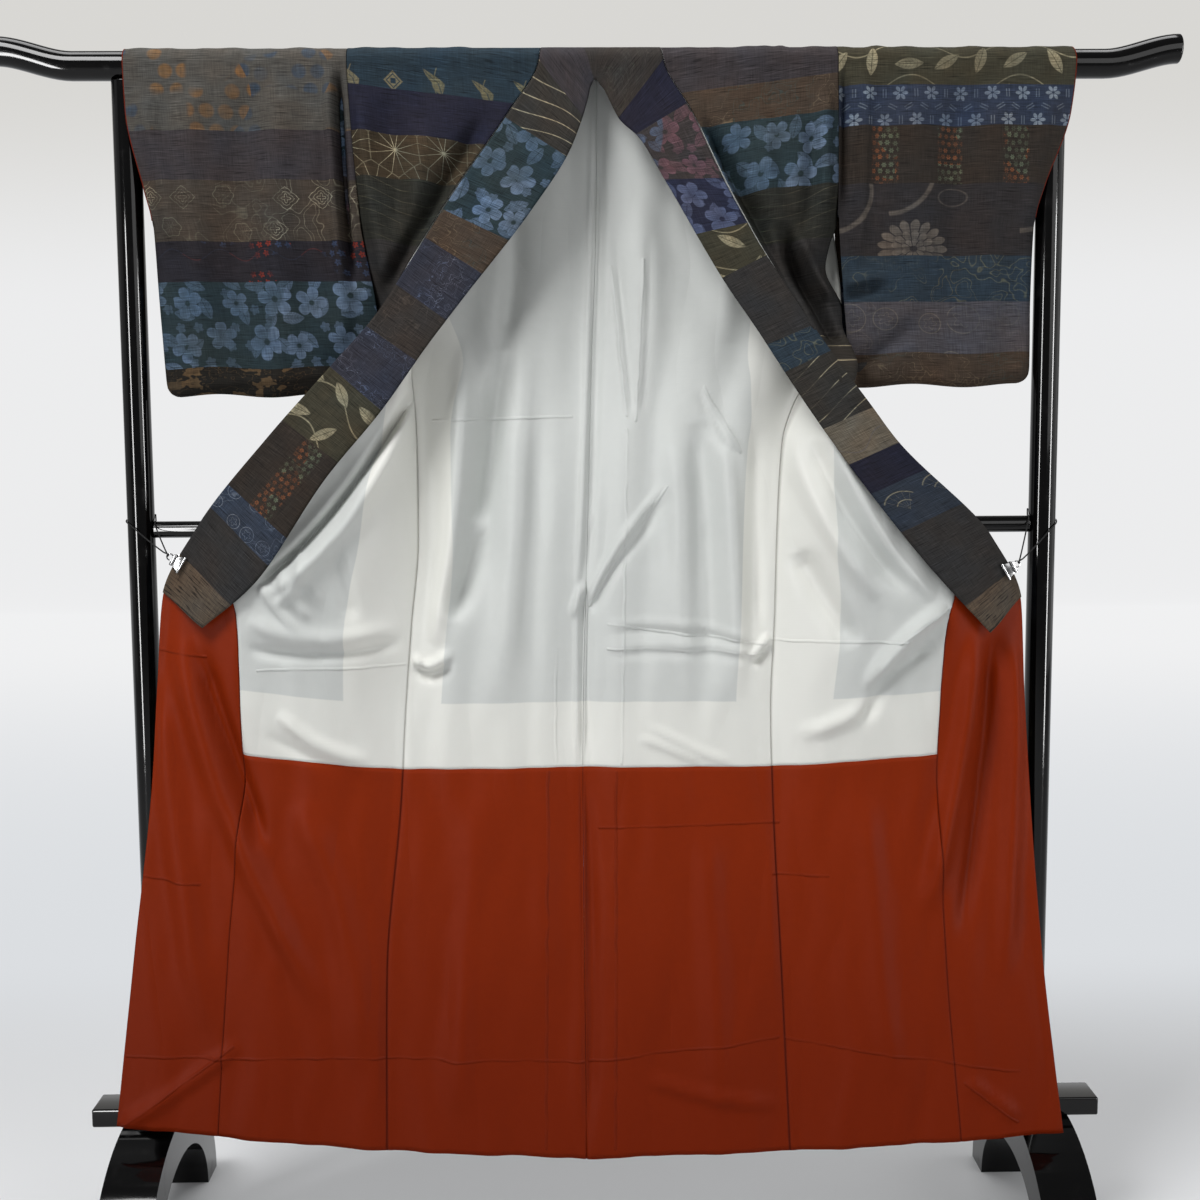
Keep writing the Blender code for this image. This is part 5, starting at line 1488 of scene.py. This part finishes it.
# ---- Cords ----
# Black twisted silk cord, knotted to the clip's ring, once round the post and
# back over the middle rail.
twist = Paint("black_cord", Specular_IOR_Level=0.25, IOR=1.45)
cx, cy, cz = twist.parts(twist.place())
strand = ((cx + cy * 0.7 + cz * 1.1) * 3800.0).cos()
fuzz = twist.noise(twist.place(), 900.0, 2.0)
twist.feed(
    Base_Color=twist.mix(fuzz, (0.004, 0.004, 0.0045), (0.012, 0.0115, 0.0115)),
    Roughness=0.62 + fuzz * 0.2,
    Normal=twist.bump(strand + fuzz, 0.5, 0.0004),
)
CORD_R = 0.001
CORD_SIDES = 12
KNOT_STEPS, POST_STEPS, LEG_STEPS = 18, 32, 10
CORD_INNER = 1.064
CORD_OUTER = {"left": 1.056, "right": 1.045}
for name, sign in SIDE.items():
    here, along, out = clip_frame(name)
    knot = here + out * (CLIP_TOP + 2 * RING_R) + Vector((0.0, -0.007, 0.0))
    ring = POST_R + CORD_R + FIT
    gx, gy = sign * knot.x - POST_X, knot.y
    facing = math.atan2(gy, gx)
    half = math.acos(ring / math.hypot(gx, gy))
    first, last = facing + half, facing - half + 2 * math.pi
    path = []
    for k in range(KNOT_STEPS + 1):
        a = 2 * math.pi * 1.5 * k / KNOT_STEPS
        path.append(knot + along * (0.0018 * math.cos(a))
                    + Vector((0.0, 0.0016 * math.sin(a), 0.0))
                    + out * (0.0005 - 0.0012 * k / KNOT_STEPS))
    post = []
    for k in range(POST_STEPS + 1):
        f = k / POST_STEPS
        a = first + (last - first) * k / POST_STEPS
        rise = CORD_OUTER[name] + (CORD_INNER - CORD_OUTER[name]) * f - 0.004 * (1 - f) ** 4
        post.append(Vector((sign * (POST_X + ring * math.cos(a)), ring * math.sin(a), rise)))
    away = MID_R + CORD_R + FIT
    over = [Vector((sign * (POST_X - ring - 0.0012), away * math.cos(a),
                    MID_Z + away * math.sin(a)))
            for a in (math.radians(100.0), math.radians(120.0), math.radians(140.0))]
    for start, stop in ((knot, post[0]), (over[-1], knot)):
        leg = [start.lerp(stop, k / LEG_STEPS)
               - Vector((0.0, 0.0, 0.0016 * math.sin(math.pi * k / LEG_STEPS)))
               for k in range(1, LEG_STEPS)]
        if start is knot:
            path += leg + post + over
        else:
            path += leg + [knot]
    verts = []
    flat = Vector((0.0, 0.0, 1.0))
    for i, p in enumerate(path):
        way = (path[min(i + 1, len(path) - 1)] - path[max(i - 1, 0)]).normalized()
        flat = (flat - way * flat.dot(way)).normalized()
        top = flat.cross(way).normalized()
        for k in range(CORD_SIDES):
            a = 2 * math.pi * k / CORD_SIDES
            verts.append(tuple(p + flat * math.cos(a) * CORD_R + top * math.sin(a) * CORD_R))
    cord = made("cord_twisted_" + name, verts, tube(len(path), CORD_SIDES), twist.material,
                turned=True)
    settle(cord, twist, "cord", "cord_" + name)

# ---- Floor and light ----
# A wide pale studio floor that turns up into a far wall. Beyond the stand the floor and wall glow
# by themselves, painted light in place of a lit backdrop, with painted falloff: dimmer and bluer
# near the stand, darker and warmer up the wall. One large soft light comes from the front left,
# with the room's own even light.
paper = Paint("pale_paper", Specular_IOR_Level=0.15, Emission_Strength=1.0)
_, depth, rise = paper.parts(paper.place())
# Painted light: from 0.35 m to 1.25 m behind the stand the paper turns from lit paper into glow;
# the glow is painted brighter further off and darker and warmer above 1.9 m.
glow = depth.ease(0.35, 1.25)
far = paper.mix(depth.ease(1.25, 6.5), (0.69, 0.71, 0.735), (0.835, 0.838, 0.845))
far = paper.mix(rise.ease(1.9, 3.6), far, (0.685, 0.676, 0.652))
paper.feed(Base_Color=paper.mix(glow, (0.725, 0.732, 0.745), (0.0, 0.0, 0.0)),
           Emission_Color=paper.mix(glow, (0.0, 0.0, 0.0), far),
           Roughness=0.75 + rise * 0.002)
paper.material.cycles.emission_sampling = "NONE"
TURN_Y, TURN_R, TURN_STEPS = 8.0, 0.9, 24
SWEEP = [(-6.0, 0.0), (0.35, 0.0), (TURN_Y, 0.0)]
for k in range(1, TURN_STEPS + 1):
    a = math.pi / 2 * k / TURN_STEPS
    SWEEP.append((TURN_Y + TURN_R * math.sin(a), TURN_R - TURN_R * math.cos(a)))
SWEEP.append((TURN_Y + TURN_R, 8.0))
count = len(SWEEP)
floor = made("floor", [(x, y, z) for x in (-12.0, 12.0) for y, z in SWEEP],
             [(k, k + count, k + count + 1, k + 1) for k in range(count - 1)], paper.material)

for title, spot, goal, size, power in (
    ("key", (-1.5, -1.8, 3.7), (0.05, 0.0, 0.95), (1.3, 1.3), 102.0),
    ("fill", (2.2, -2.7, 2.3), (0.0, 0.0, 1.1), (2.0, 2.0), 26.0),
    ("overhead", (0.0, 0.32, 3.3), (0.0, 0.6, 0.0), (2.6, 0.8), 34.0),
    ("wall_left", (-2.1, 0.1, 1.4), (-0.2, 1.3, 1.2), (1.6, 1.6), 2.0),
    ("strip_left", (-1.95, -2.35, 1.0), (-0.64, 0.0, 1.0), (0.34, 2.6), 110.0),
    ("strip_right", (2.65, -1.75, 1.0), (0.64, 0.0, 1.0), (0.34, 2.6), 110.0),
    ("wall_right", (2.1, 0.1, 1.4), (0.2, 1.3, 1.2), (1.6, 1.6), 7.0),
):
    lamp = bpy.data.objects.new(title, bpy.data.lights.new(title, "AREA"))
    bpy.context.collection.objects.link(lamp)
    lamp.data.shape = "RECTANGLE"
    lamp.data.size, lamp.data.size_y = size
    lamp.data.energy = power
    lamp.location = spot
    aim = Vector(goal) - Vector(spot)
    lamp.rotation_euler = aim.to_track_quat("-Z", "Y").to_euler()
    lamp.visible_diffuse = not title.startswith("strip")
world = bpy.data.worlds.new("room")
world.use_nodes = True
world.node_tree.nodes["Background"].inputs[0].default_value = (0.98, 0.99, 1.0, 1.0)
world.node_tree.nodes["Background"].inputs[1].default_value = 0.18
bpy.context.scene.world = world
bpy.context.scene.view_settings.view_transform = "Standard"
